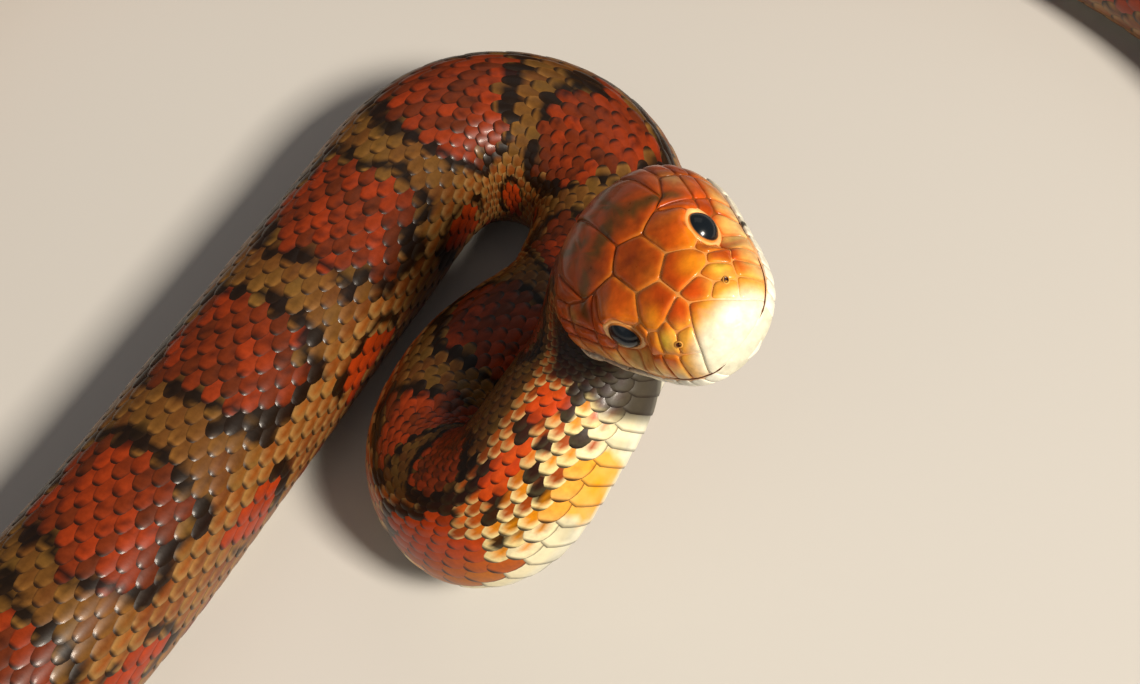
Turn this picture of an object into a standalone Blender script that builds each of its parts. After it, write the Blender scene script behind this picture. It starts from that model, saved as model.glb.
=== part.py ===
"""Corn snake, life size: a still model that lies in one loose coil with its forebody and head raised.

The floor is the plane z = 0 and the origin is the centre of the model's footprint on it. Sizes are
in millimetres and become metres where a mesh is made. A centre line runs from the snout to the
tail's tip. The head, the jaw and each length of the body are lofted along it as closed solids, and
neighbours meet face to face with a thin gap.
"""

import math
from dataclasses import dataclass

import bmesh
import bpy
import numpy as np

MM = 0.001
GAP = 0.3

# Pose of the head: its own frame has x to the snout, y to the left and z to the crown, and starts
# midway between the eyes.
HEAD_PLACE = np.array([0.15, 0.16, 60.1])
HEAD_HEADING = -58.4
HEAD_PITCH = 28.2
HEAD_ROLL = 32.5
AXIS_HEIGHT = -2.2
SNOUT_X = 12.6
HEAD_STRAIGHT_X = (-4.0, -10.0)
HEAD_END_X = -17.5

# Centre line of the raised forebody, from the head's base down to the floor and round its bend.
RISE_ROUTE = (
    (-5.0, 10.8, 48.6),
    (-5.9, 10.5, 39.6),
    (-7.6, 5.2, 32.6),
    (-11.8, -1.1, 28.4),
    (-16.9, -6.0, 22.5),
    (-23.3, -5.9, 15.6),
    (-27.3, -1.1, 12.0),
    (-27.8, 5.7, 10.7),
    (-25.8, 10.8, 10.4),
    (-20.8, 17.0, 10.4),
    (-13.6, 22.2, 10.5),
)
RESTING_POINTS = 3

# The coil on the floor: arcs and straight stretches, each with its radius and the angle turned.
FLOOR_START = (-7.2, 30.8)
FLOOR_HEADING = 57.0
FLOOR_RUNS = (
    ("arc", 15.0, 182.0),
    ("line", 62.0, 0.0),
    ("arc", 190.0, -8.0),
    ("arc", 40.0, 129.0),
    ("line", 58.0, 0.0),
    ("arc", 104.0, 176.0),
    ("line", 68.0, 0.0),
    ("arc", 64.0, 94.0),
    ("line", 88.0, 0.0),
    ("arc", 105.0, 100.0),
)
ROUTE_STEP = 9.0

# Thickness along the centre line: distance from the snout, half width, height of the back above
# the centre line and depth of the belly below it.
BODY_SIZES = (
    (30.1, 10.0, 6.2, 7.3),
    (35.0, 8.8, 6.9, 8.0),
    (42.0, 8.6, 8.0, 9.2),
    (54.0, 9.2, 9.4, 10.0),
    (68.0, 9.4, 10.0, 10.4),
    (84.0, 9.05, 10.6, 10.9),
    (102.0, 9.9, 10.8, 11.3),
    (127.0, 10.8, 11.0, 11.6),
    (192.0, 11.8, 12.0, 12.6),
    (332.0, 13.2, 13.2, 13.8),
    (602.0, 14.2, 14.0, 14.6),
    (832.0, 12.9, 12.4, 13.0),
    (960.0, 9.8, 9.4, 9.8),
    (1030.0, 7.2, 7.0, 7.3),
    (1110.0, 3.9, 3.8, 3.9),
    (1156.0, 1.5, 1.5, 1.5),
    (1173.0, 0.7, 0.7, 0.7),
)
SECTION_BULGE = 0.88
BELLY_FLAT = 0.92
RING_POINTS = 24

# Belly scutes stand out a little at their free, rear edges along the raised forebody.
SCUTE_PITCH = 3.7
SCUTE_STEP = 0.4
SCUTES_START = 33.0
SCUTES_END = 78.0

# The body's lengths, each a node, with the distance from the snout to its rear end.
LENGTH_ENDS = (
    ("neck", 48.0),
    ("forebody_rise", 68.0),
    ("forebody_bend", 88.0),
    ("forebody_rear", 108.0),
    ("body_01", 132.0),
    ("body_02", 157.0),
    ("body_03", 185.0),
    ("body_04", 225.0),
    ("body_05", 265.0),
    ("body_06", 300.0),
    ("body_07", 335.0),
    ("body_08", 375.0),
    ("body_09", 425.0),
    ("body_10", 475.0),
    ("body_11", 525.0),
    ("body_12", 575.0),
    ("body_13", 625.0),
    ("body_14", 675.0),
    ("body_15", 725.0),
    ("body_16", 785.0),
    ("body_17", 830.0),
    ("body_18", 875.0),
    ("body_19", 925.0),
    ("body_20", 985.0),
    ("tail_1", 1045.0),
    ("tail_2", 1105.0),
    ("tail_tip", None),
)

# Head sections in the head's frame: x, half width, crown, chin and the level of greatest width.
HEAD_SECTIONS = (
    (12.45, 2.2, -1.2, -5.5, -3.4),
    (11.8, 3.9, 0.3, -6.4, -3.6),
    (10.6, 5.3, 1.4, -7.0, -3.9),
    (9.0, 6.5, 2.3, -7.5, -4.2),
    (6.4, 7.7, 3.2, -8.0, -4.6),
    (3.0, 8.8, 3.9, -8.4, -4.9),
    (0.0, 9.6, 4.3, -8.7, -5.0),
    (-4.0, 10.7, 4.7, -9.1, -5.0),
    (-8.0, 11.6, 4.8, -9.4, -4.7),
    (-12.0, 12.0, 4.6, -9.5, -4.2),
    (-15.0, 11.6, 4.2, -9.5, -3.4),
    (-17.5, 10.0, 3.9, -9.5, -2.6),
)
HEAD_SIDE_POWER = 0.9
HEAD_CROWN_POWER = 0.95
HEAD_CHIN_POWER = 0.65
HEAD_RINGS = 26
JAW_SPREAD = 1.04
SPREAD_EASE = 6.0

# Mouth line: x and height, from the notch at the snout to the corner.
MOUTH_LINE = (
    (13.0, -3.5),
    (9.0, -4.0),
    (5.0, -4.5),
    (0.0, -5.0),
    (-5.0, -5.2),
    (-10.0, -4.7),
    (-15.0, -3.7),
)
MOUTH_CORNER_X = -15.0
MOUTH_GUIDE_X = 15.0
MOUTH_GUIDE_REACH = 16.0
MOUTH_GUIDE_RINGS = 16

# Head plates: each stands out on the head with its root sunk in, and thin grooves part them.
PLATE_RISE = 0.3
PLATE_DOME = 0.14
PLATE_ROOT = 0.8
PLATE_GROOVE = 0.32
PLATE_EDGE = 2.4

# Directions in which the outlines of crown, side and snout plates meet the head.
DOWN = np.array([0.0, 0.0, -1.0])
INWARD = np.array([0.0, -1.0, 0.0])
SNOUT_WAY = np.array([-0.743, 0.0, -0.669])
PLATE_START = 3.0
LAND_REACH = 24.0
LAND_STEPS = 32
NORMAL_STEP = 0.15

# Outlines of the left plates in the head's frame: x and y on the crown and chin, x and height at
# the side. The frontal lies across the middle, and the rostral over the snout's tip.
FRONTAL = ((3.4, 0.0), (1.5, 2.75), (-3.1, 2.75), (-5.4, 0.0), (-3.1, -2.75), (1.5, -2.75))
ROSTRAL = (
    (8.3, 0.0, 2.5),
    (9.8, 1.65, 1.5),
    (11.3, 2.9, -0.4),
    (11.9, 3.1, -3.9),
    (12.4, 0.0, -4.2),
    (11.9, -3.1, -3.9),
    (11.3, -2.9, -0.4),
    (9.8, -1.65, 1.5),
)
CROWN_PLATES = (
    ("internasal", ((8.3, 0.0), (9.8, 1.65), (8.6, 3.3), (6.8, 3.1), (6.65, 0.0))),
    (
        "prefrontal",
        ((6.65, 0.0), (6.8, 3.1), (6.1, 4.5), (4.7, 5.3), (3.3, 5.0), (1.5, 2.75), (3.4, 0.0)),
    ),
    (
        "supraocular",
        ((1.5, 2.75), (3.2, 4.9), (2.2, 6.0), (-0.4, 6.2), (-3.0, 6.5), (-5.0, 5.6), (-3.1, 2.75)),
    ),
    (
        "parietal",
        ((-5.4, 0.0), (-3.1, 2.75), (-5.0, 5.6), (-6.3, 7.2), (-11.0, 7.0), (-15.0, 3.2), (-15.5, 0.0)),
    ),
)
SIDE_PLATES = (
    ("nasal_front", ((11.2, -0.4), (9.9, 1.4), (8.6, 1.6), (9.3, -0.2))),
    ("nasal_rear", ((9.3, -0.2), (8.5, 1.6), (6.9, 2.4), (6.2, 1.95), (7.2, 0.0))),
    ("loreal", ((7.2, 0.0), (6.2, 1.9), (4.9, 1.7), (4.8, -0.6))),
    ("preocular", ((4.8, -0.6), (4.9, 1.6), (3.4, 2.3), (2.0, 1.8), (1.9, -1.0), (2.6, -1.2))),
    ("postocular_upper", ((-2.0, 1.9), (-4.9, 2.4), (-4.6, 0.3), (-2.2, 0.3))),
    ("postocular_lower", ((-2.2, 0.3), (-4.6, 0.3), (-4.9, -1.5), (-2.0, -1.6))),
    ("temporal_1", ((-4.9, 2.4), (-4.6, 0.3), (-9.2, 0.2), (-9.4, 1.9), (-6.4, 2.8))),
    ("temporal_2", ((-4.6, 0.3), (-4.9, -1.5), (-9.2, -1.5), (-9.2, 0.2))),
    ("temporal_3", ((-9.2, -1.5), (-9.2, 0.2), (-13.3, 0.2), (-13.5, -1.5))),
    ("temporal_4", ((-9.2, 0.2), (-9.4, 1.9), (-13.0, 1.9), (-13.3, 0.2))),
    ("temporal_5", ((-9.4, 1.9), (-8.9, 2.85), (-11.2, 2.95), (-13.2, 3.4), (-13.0, 1.9))),
)
CHIN_PLATES = (
    ("chin_shield_front", ((10.6, 0.0), (9.4, 2.3), (5.9, 2.8), (6.0, 0.0))),
    ("chin_shield_rear", ((6.0, 0.0), (5.7, 2.6), (1.0, 2.4), (0.6, 0.5))),
)
MENTAL = ((12.3, 1.7), (12.3, -1.7), (10.9, 0.0))

# Lip plates: where each begins along x, and the height of the row's far edge from the mouth line.
UPPER_LIP_X = (10.9, 9.0, 6.6, 4.2, 1.6, -1.4, -4.6, -8.6, -13.2)
UPPER_LIP_TOP = (
    (11.3, -0.5),
    (9.3, -0.2),
    (7.2, 0.0),
    (4.8, -0.6),
    (2.6, -1.2),
    (0.0, -1.75),
    (-2.4, -1.6),
    (-4.9, -1.5),
    (-13.4, -1.5),
)
LOWER_LIP_X = (11.5, 10.1, 8.3, 6.1, 3.6, 0.5, -3.2, -7.2, -11.2, -14.4)
LOWER_LIP_DEPTH = 2.1
LIP_OVERLAP = 0.4

EYE_RADIUS = 2.45
EYE_CENTRE = (-0.48, 6.38, 0.21)
NOSTRIL_RADIUS = 0.42
NOSTRIL_CENTRE = (9.2, 4.4, 0.8)

SKIN_RED = (0.42, 0.09, 0.02)
SKIN_BROWN = (0.24, 0.12, 0.04)
HEAD_ORANGE = (0.55, 0.17, 0.03)
JAW_IVORY = (0.78, 0.70, 0.48)
EYE_DARK = (0.01, 0.012, 0.02)


@dataclass(frozen=True)
class Frame:
    """A place with three unit axes: forward, left and up."""

    place: np.ndarray
    forward: np.ndarray
    left: np.ndarray
    up: np.ndarray

    def at(self, x: float, y: float, z: float) -> np.ndarray:
        return self.place + x * self.forward + y * self.left + z * self.up


def unit(vector: np.ndarray) -> np.ndarray:
    return vector / np.linalg.norm(vector)


def head_frame() -> Frame:
    """The head's frame from its heading, pitch and roll."""
    heading, pitch, roll = (math.radians(a) for a in (HEAD_HEADING, HEAD_PITCH, HEAD_ROLL))
    level = np.array([math.cos(heading), math.sin(heading), 0.0])
    side = np.array([-math.sin(heading), math.cos(heading), 0.0])
    forward = math.cos(pitch) * level + np.array([0.0, 0.0, math.sin(pitch)])
    plumb = np.cross(forward, side)
    up = math.cos(roll) * plumb - math.sin(roll) * side
    return Frame(HEAD_PLACE, forward, np.cross(up, forward), up)


def cubic_through(knots: np.ndarray, values: np.ndarray, start_slope=None):
    """A smooth cubic curve through the values, with free ends or a given slope at its start."""
    count = len(knots)
    width = np.diff(knots)
    values = np.asarray(values, float).reshape(count, -1)
    system = np.zeros((count, count))
    right = np.zeros_like(values)
    for i in range(1, count - 1):
        system[i, i - 1] = width[i - 1]
        system[i, i] = 2 * (width[i - 1] + width[i])
        system[i, i + 1] = width[i]
        rise = (values[i + 1] - values[i]) / width[i]
        right[i] = 6 * (rise - (values[i] - values[i - 1]) / width[i - 1])
    system[0, 0] = system[-1, -1] = 1.0
    if start_slope is not None:
        system[0, :2] = 2 * width[0], width[0]
        right[0] = 6 * ((values[1] - values[0]) / width[0] - start_slope)
    bend = np.linalg.solve(system, right)

    def value(x):
        x = np.atleast_1d(np.asarray(x, float))
        i = np.clip(np.searchsorted(knots, x) - 1, 0, count - 2)
        h = width[i][:, None]
        near = (knots[i + 1] - x)[:, None]
        far = (x - knots[i])[:, None]
        curve = (bend[i] * near**3 + bend[i + 1] * far**3) / (6 * h)
        start = (values[i] / h - bend[i] * h / 6) * near
        end = (values[i + 1] / h - bend[i + 1] * h / 6) * far
        return curve + start + end

    return value


def eased_through(knots, values):
    """A curve through the values that never overshoots them, with slopes limited at each knot."""
    knots = np.asarray(knots, float)
    values = np.asarray(values, float).reshape(len(knots), -1)
    order = np.argsort(knots)
    knots, values = knots[order], values[order]
    width = np.diff(knots)[:, None]
    rise = np.diff(values, axis=0) / width
    slope = np.zeros_like(values)
    slope[0], slope[-1] = rise[0], rise[-1]
    same_way = rise[:-1] * rise[1:] > 0
    weight_a = 2 * width[1:] + width[:-1]
    weight_b = width[1:] + 2 * width[:-1]
    safe_a = np.where(same_way, rise[:-1], 1.0)
    safe_b = np.where(same_way, rise[1:], 1.0)
    mean = (weight_a + weight_b) / (weight_a / safe_a + weight_b / safe_b)
    slope[1:-1] = np.where(same_way, mean, 0.0)

    def value(x):
        x = np.clip(np.atleast_1d(np.asarray(x, float)), knots[0], knots[-1])
        i = np.clip(np.searchsorted(knots, x) - 1, 0, len(knots) - 2)
        h = width[i]
        t = (x[:, None] - knots[i][:, None]) / h
        first = (1 + 2 * t) * (1 - t) ** 2 * values[i] + t * (1 - t) ** 2 * h * slope[i]
        second = t**2 * (3 - 2 * t) * values[i + 1] + t**2 * (t - 1) * h * slope[i + 1]
        return first + second

    return value


def floor_route() -> list:
    """Points of the coil on the floor, spaced along its arcs and straight stretches."""
    place = np.array([*FLOOR_START, 0.0])
    heading = math.radians(FLOOR_HEADING)
    points = [place.copy()]
    for kind, size, angle in FLOOR_RUNS:
        length = size if kind == "line" else size * math.radians(abs(angle))
        turn = math.radians(angle)
        steps = max(1, round(length / ROUTE_STEP))
        for _ in range(steps):
            middle = heading + turn / steps / 2
            place = place + length / steps * np.array([math.cos(middle), math.sin(middle), 0.0])
            heading += turn / steps
            points.append(place.copy())
    return points


class Body:
    """The centre line, its frames and the sections on it, by the distance from the snout."""

    def __init__(self) -> None:
        self.head = head_frame()
        self.base = SNOUT_X - HEAD_STRAIGHT_X[0]
        self.sizes = eased_through([row[0] for row in BODY_SIZES], [row[1:] for row in BODY_SIZES])
        starts = [self.head.at(x, 0.0, AXIS_HEIGHT) for x in HEAD_STRAIGHT_X]
        route = [*starts, *map(np.array, RISE_ROUTE), *floor_route()]
        knots = self.base + self.lengths(np.array(route))
        depth = self.sizes(knots)[:, 2] * BELLY_FLAT
        first = len(starts) + len(RISE_ROUTE) - RESTING_POINTS
        for i in range(first, len(route)):
            route[i] = np.array([route[i][0], route[i][1], depth[i]])
        self.floor_from = knots[first]
        self.curve = cubic_through(knots, np.array(route), -self.head.forward)
        self.length = knots[-1]
        self.up_hints = self.hints()

    @staticmethod
    def lengths(points: np.ndarray) -> np.ndarray:
        return np.r_[0.0, np.cumsum(np.linalg.norm(np.diff(points, axis=0), axis=1))]

    def hints(self):
        """Which way the back faces, from the head's crown through the twist of the neck to upright."""
        ways = (
            (self.base, self.head.up),
            (self.base + 18, np.array([-0.80, 0.52, 0.30])),
            (self.base + 40, np.array([-0.72, 0.58, 0.38])),
            (self.base + 56, np.array([-0.40, 0.42, 0.81])),
            (self.base + 68, np.array([-0.12, 0.08, 0.98])),
            (self.base + 76, np.array([0.0, 0.0, 1.0])),
        )
        return eased_through([s for s, _ in ways], [unit(way) for _, way in ways])

    def point(self, s: float) -> np.ndarray:
        """The centre line's place, which on the floor keeps the belly at z = 0."""
        if s <= self.base:
            return self.head.at(SNOUT_X - s, 0.0, AXIS_HEIGHT)
        place = self.curve(min(s, self.length))[0]
        if s > self.floor_from:
            place[2] = self.sizes(s)[0, 2] * BELLY_FLAT
        return place

    def frame(self, s: float) -> Frame:
        if s <= self.base:
            return Frame(self.point(s), self.head.forward, self.head.left, self.head.up)
        step = 0.05
        end = min(s, self.length - step)
        forward = unit(self.point(end - step) - self.point(end + step))
        if s > self.floor_from:
            forward = unit(forward * np.array([1.0, 1.0, 0.0]))
        hint = self.up_hints(s)[0]
        left = unit(np.cross(hint, forward))
        return Frame(self.point(s), forward, left, np.cross(forward, left))


def power(value, exponent: float):
    """The value raised to the exponent with its sign kept."""
    return np.sign(value) * np.abs(value) ** exponent


def body_ring(body: Body, s: float, raised: float = 0.0) -> np.ndarray:
    """One cross section: a rounded loaf with a flat belly, its belly pushed out by raised."""
    width, back, belly = body.sizes(s)[0]
    angle = np.linspace(0, 2 * math.pi, RING_POINTS, endpoint=False)
    y = width * power(np.sin(angle), SECTION_BULGE)
    z = power(np.cos(angle), SECTION_BULGE)
    z = np.where(z > 0, z * back, np.maximum(z * belly, -BELLY_FLAT * belly))
    under = np.clip((-np.cos(angle) - 0.35) / 0.25, 0, 1)
    z -= raised * under
    at = body.frame(s)
    return at.place + np.outer(y, at.left) + np.outer(z, at.up)


def body_stations(body: Body, start: float, end: float) -> list:
    """Distances of the rings in one length with the belly's rise at each, close in tight bends."""
    stations = [(start, 0.0)]
    if SCUTES_START < end and start < SCUTES_END:
        plate = SCUTES_START
        while plate < min(end, SCUTES_END):
            for s, rise in ((plate + 0.05, 0.0), (plate + SCUTE_PITCH - 0.05, SCUTE_STEP)):
                if start + 0.6 < s < end - 0.6:
                    stations.append((s, rise))
            plate += SCUTE_PITCH
    last = stations[-1][0]
    if end - last > SCUTE_PITCH * 2:
        turned = unit(body.frame(last).forward) @ unit(body.frame(end).forward)
        bend = math.acos(max(-1.0, min(1.0, turned)))
        pieces = max(2, math.ceil((end - last) / 11.0), math.ceil(bend / 0.2))
        for i in range(1, pieces):
            stations.append((last + (end - last) * i / pieces, 0.0))
    stations.append((end, 0.0))
    return stations


def loft(name: str, rings: list, tip: np.ndarray | None = None) -> bpy.types.Object:
    """A closed solid through rings of equally many points, with flat caps or a pointed end."""
    mesh = bmesh.new()
    rows = [[mesh.verts.new(point * MM) for point in ring] for ring in rings]
    count = len(rows[0])
    for one, two in zip(rows, rows[1:]):
        for i in range(count):
            j = (i + 1) % count
            mesh.faces.new((one[i], one[j], two[j], two[i]))
    mesh.faces.new(rows[0][::-1])
    if tip is None:
        mesh.faces.new(rows[-1])
    else:
        end = mesh.verts.new(tip * MM)
        for i in range(count):
            mesh.faces.new((rows[-1][i], rows[-1][(i + 1) % count], end))
    return finish(name, mesh)


def finish(name: str, mesh: bmesh.types.BMesh) -> bpy.types.Object:
    """Turns the mesh into a named object with its faces outward and its quads split alike."""
    bmesh.ops.recalc_face_normals(mesh, faces=mesh.faces)
    bmesh.ops.triangulate(mesh, faces=mesh.faces)
    data = bpy.data.meshes.new(name)
    mesh.to_mesh(data)
    mesh.free()
    data.shade_smooth()
    data.set_sharp_from_angle(angle=math.radians(40))
    made = bpy.data.objects.new(name, data)
    bpy.context.scene.collection.objects.link(made)
    return made


def paint(made: bpy.types.Object, colour: tuple, roughness: float) -> None:
    material = bpy.data.materials.new(made.name)
    material.use_nodes = True
    shader = material.node_tree.nodes["Principled BSDF"]
    shader.inputs["Base Color"].default_value = (*colour, 1.0)
    shader.inputs["Roughness"].default_value = roughness
    made.data.materials.clear()
    made.data.materials.append(material)


def make_lengths(body: Body) -> None:
    """The neck, the lengths of the body and the tail."""
    start = SNOUT_X - HEAD_END_X + GAP
    for name, end in LENGTH_ENDS:
        last = end is None
        stop = body.length - 1.2 if last else end
        rings = [body_ring(body, s, rise) for s, rise in body_stations(body, start, stop)]
        tip = body.frame(body.length).place if last else None
        made = loft(name, rings, tip)
        paint(made, SKIN_RED if name != "tail_tip" else SKIN_BROWN, 0.45)
        start = stop + GAP


class HeadShape:
    """The head's outer surface in its own frame, from sections that change smoothly along x."""

    def __init__(self, spread: float = 1.0) -> None:
        keys = [row[0] for row in HEAD_SECTIONS]
        sizes = np.array([row[1:] for row in HEAD_SECTIONS])
        ahead = np.clip((np.array(keys) - HEAD_END_X) / SPREAD_EASE, 0, 1)
        sizes[:, 0] *= 1 + (spread - 1) * ahead
        self.sections = eased_through(keys, sizes)
        self.mouth = eased_through([row[0] for row in MOUTH_LINE], [row[1] for row in MOUTH_LINE])

    def ring(self, x: float, count: int = 28) -> np.ndarray:
        """Points (y, z) round the section at x, from the crown to the left and under the chin."""
        width, crown, chin, level = self.sections(x)[0]
        angle = np.linspace(0, 2 * math.pi, count, endpoint=False)
        y = width * power(np.sin(angle), HEAD_SIDE_POWER)
        above = level + power(np.cos(angle), HEAD_CROWN_POWER) * (crown - level)
        below = level + power(np.cos(angle), HEAD_CHIN_POWER) * (level - chin)
        z = np.where(np.cos(angle) > 0, above, below)
        return np.stack([y, z], axis=1)


    def outside(self, points: np.ndarray) -> np.ndarray:
        """Above 0 for each point outside the surface and below 0 for each inside it."""
        width, crown, chin, level = self.sections(points[:, 0]).T
        above = points[:, 2] > level
        height = np.where(above, crown - level, level - chin)
        rounding = np.where(above, HEAD_CROWN_POWER, HEAD_CHIN_POWER)
        across = np.abs(points[:, 1] / width) ** (2 / HEAD_SIDE_POWER)
        along = np.abs((points[:, 2] - level) / height) ** (2 / rounding)
        return np.maximum(across + along - 1, points[:, 0] - HEAD_SECTIONS[0][0])

    def land(self, points: np.ndarray, way: np.ndarray) -> np.ndarray:
        """Where lines through inner points, which come in along way, meet the surface."""
        inner = np.zeros(len(points))
        outer = np.full(len(points), LAND_REACH)
        for _ in range(LAND_STEPS):
            middle = (inner + outer) / 2
            out = self.outside(points - middle[:, None] * way) > 0
            outer = np.where(out, middle, outer)
            inner = np.where(out, inner, middle)
        return points - outer[:, None] * way

    def normals(self, points: np.ndarray) -> np.ndarray:
        """Outward unit normals of the surface near the points."""
        moves = NORMAL_STEP * np.eye(3)
        slopes = [self.outside(points + move) - self.outside(points - move) for move in moves]
        ways = np.stack(slopes, axis=1)
        return ways / np.linalg.norm(ways, axis=1, keepdims=True)


def inset(corners: np.ndarray, distance: float) -> np.ndarray:
    """A flat outline with each of its edges moved inward by the distance."""
    following = np.roll(corners, -1, axis=0)
    area = (corners[:, 0] * following[:, 1] - following[:, 0] * corners[:, 1]).sum() / 2
    edge = following - corners
    edge /= np.linalg.norm(edge, axis=1, keepdims=True)
    inward = np.stack([-edge[:, 1], edge[:, 0]], axis=1) * np.sign(area)
    before = np.roll(inward, 1, axis=0)
    bisector = before + inward
    return corners + 2 * distance * bisector / (bisector**2).sum(axis=1, keepdims=True)


def on_head(body: Body, points: np.ndarray) -> list:
    """Places in the model of points given in the head's frame, which bends with the neck."""
    placed = []
    for x, y, z in points:
        at = body.frame(SNOUT_X - x)
        placed.append(at.place + y * at.left + (z - AXIS_HEIGHT) * at.up)
    return placed


def head_plate(body: Body, shape: HeadShape, name: str, corners: np.ndarray, way: np.ndarray):
    """One plate: a closed, slightly domed prism on the surface with its root sunk in.

    Its corners are inner points, and way is the direction in which the outline meets the head.
    """
    side = unit(np.cross(way, np.array([1.0, 0.0, 0.0])))
    other = np.cross(way, side)
    flat = np.stack([corners @ side, corners @ other], axis=1)
    flat = inset(flat, PLATE_GROOVE / 2)
    depth = corners @ way
    rim = []
    for i in range(len(flat)):
        j = (i + 1) % len(flat)
        pieces = max(1, math.ceil(np.linalg.norm(flat[j] - flat[i]) / PLATE_EDGE))
        for k in range(pieces):
            part = k / pieces
            u, v = flat[i] * (1 - part) + flat[j] * part
            w = depth[i] * (1 - part) + depth[j] * part
            rim.append(u * side + v * other + w * way)
    rim = np.array([*rim, np.mean(rim, axis=0)])
    landed = shape.land(rim, way)
    normals = shape.normals(landed)
    rise = np.full(len(rim), PLATE_RISE)
    rise[-1] += PLATE_DOME
    top = on_head(body, landed + rise[:, None] * normals)
    root = on_head(body, landed - PLATE_ROOT * normals)
    return loft(name, [root[:-1], top[:-1]], top[-1])


def mirrored(corners: np.ndarray) -> np.ndarray:
    return corners * np.array([1.0, -1.0, 1.0])


def plate_pairs(body: Body, shape: HeadShape, outlines: list) -> list:
    """The left plate of each outline and its mirror image on the right."""
    plates = []
    for name, way, outline in outlines:
        corners = np.array(outline)
        plates.append(head_plate(body, shape, name, corners, way))
        plates.append(head_plate(body, shape, name, mirrored(corners), mirrored(way)))
    return plates


def plates_of_head(body: Body, shape: HeadShape) -> list:
    """The plates of the crown, the sides and the upper lip."""
    rostral = np.array(ROSTRAL) + PLATE_START * SNOUT_WAY
    frontal = np.array([(x, y, 0.0) for x, y in FRONTAL])
    outlines = [(name, DOWN, [(x, y, 0.0) for x, y in rim]) for name, rim in CROWN_PLATES]
    outlines += [(name, INWARD, [(x, 0.0, z) for x, z in rim]) for name, rim in SIDE_PLATES]
    lip = eased_through([row[0] for row in UPPER_LIP_TOP], [row[1] for row in UPPER_LIP_TOP])
    for front, rear in zip(UPPER_LIP_X, UPPER_LIP_X[1:]):
        low = [(x, 0.0, shape.mouth(x)[0, 0] - LIP_OVERLAP) for x in (rear, front)]
        high = [(x, 0.0, lip(x)[0, 0]) for x in (front, rear)]
        outlines.append(("upper_lip", INWARD, low + high))
    return [
        head_plate(body, shape, "frontal", frontal, DOWN),
        head_plate(body, shape, "rostral", rostral, SNOUT_WAY),
        *plate_pairs(body, shape, outlines),
    ]


def plates_of_jaw(body: Body, shape: HeadShape) -> list:
    """The plates of the lower lip and the chin."""
    mental = np.array([(x, y, AXIS_HEIGHT - PLATE_START) for x, y in MENTAL])
    outlines = []
    for name, rim in CHIN_PLATES:
        outlines.append((name, -DOWN, [(x, y, AXIS_HEIGHT - PLATE_START) for x, y in rim]))
    for front, rear in zip(LOWER_LIP_X, LOWER_LIP_X[1:]):
        high = [(x, 0.0, shape.mouth(x)[0, 0] + LIP_OVERLAP) for x in (front, rear)]
        low = [(x, 0.0, shape.mouth(x)[0, 0] - LOWER_LIP_DEPTH) for x in (rear, front)]
        outlines.append(("lower_lip", INWARD, high + low))
    return [
        head_plate(body, shape, "mental", mental, -DOWN),
        *plate_pairs(body, shape, outlines),
    ]


def head_solid(name: str, body: Body, shape: HeadShape) -> bpy.types.Object:
    """The whole head with the jaw closed, from the snout to where the neck begins."""
    spacing = np.linspace(0, 1, HEAD_RINGS) ** 1.25
    rings = []
    for part in spacing:
        x = HEAD_SECTIONS[0][0] + (HEAD_END_X - HEAD_SECTIONS[0][0]) * part
        at = body.frame(SNOUT_X - x)
        section = shape.ring(x)
        section[:, 1] -= AXIS_HEIGHT
        rings.append(at.place + np.outer(section[:, 0], at.left) + np.outer(section[:, 1], at.up))
    tip = body.head.at(SNOUT_X, 0.0, -2.8)
    return loft(name, rings[::-1], tip)


def mouth_block(body: Body, shape: HeadShape, margin: float) -> bpy.types.Object:
    """A guide that fills the space under the mouth line, made smaller all round by margin."""
    rings = []
    for x in np.linspace(MOUTH_CORNER_X + margin, MOUTH_GUIDE_X, MOUTH_GUIDE_RINGS):
        top = shape.mouth(x)[0, 0] - margin
        low, side = -MOUTH_GUIDE_REACH, MOUTH_GUIDE_REACH
        corners = ((-side, low), (side, low), (side, top), (-side, top))
        rings.append(np.array([body.head.at(x, y, z) for y, z in corners]))
    block = loft("mouth_guide", rings)
    hide(block)
    return block


def hide(helper: bpy.types.Object) -> None:
    helper.hide_render = True
    helper.display_type = "WIRE"


def cut(made: bpy.types.Object, tool: bpy.types.Object, operation: str) -> None:
    """Applies one Boolean, removes its tool and keeps the largest closed surface."""
    modifier = made.modifiers.new("cut", "BOOLEAN")
    modifier.operation = operation
    modifier.object = tool
    modifier.solver = "EXACT"
    bake(made)
    bpy.data.objects.remove(tool)
    keep_largest(made)


def join(made: bpy.types.Object, pieces: list) -> None:
    """Joins the pieces to the object by one Boolean on their collection, and removes them."""
    group = bpy.data.collections.new("pieces")
    for piece in pieces:
        group.objects.link(piece)
    modifier = made.modifiers.new("join", "BOOLEAN")
    modifier.operation = "UNION"
    modifier.operand_type = "COLLECTION"
    modifier.collection = group
    modifier.solver = "EXACT"
    bake(made)
    for piece in pieces:
        bpy.data.objects.remove(piece)
    bpy.data.collections.remove(group)
    keep_largest(made)


def bake(made: bpy.types.Object) -> None:
    """Replaces the object's mesh by what its modifiers give and removes them."""
    graph = bpy.context.evaluated_depsgraph_get()
    graph.update()
    data = bpy.data.meshes.new_from_object(made.evaluated_get(graph))
    made.modifiers.clear()
    made.data = data


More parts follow.
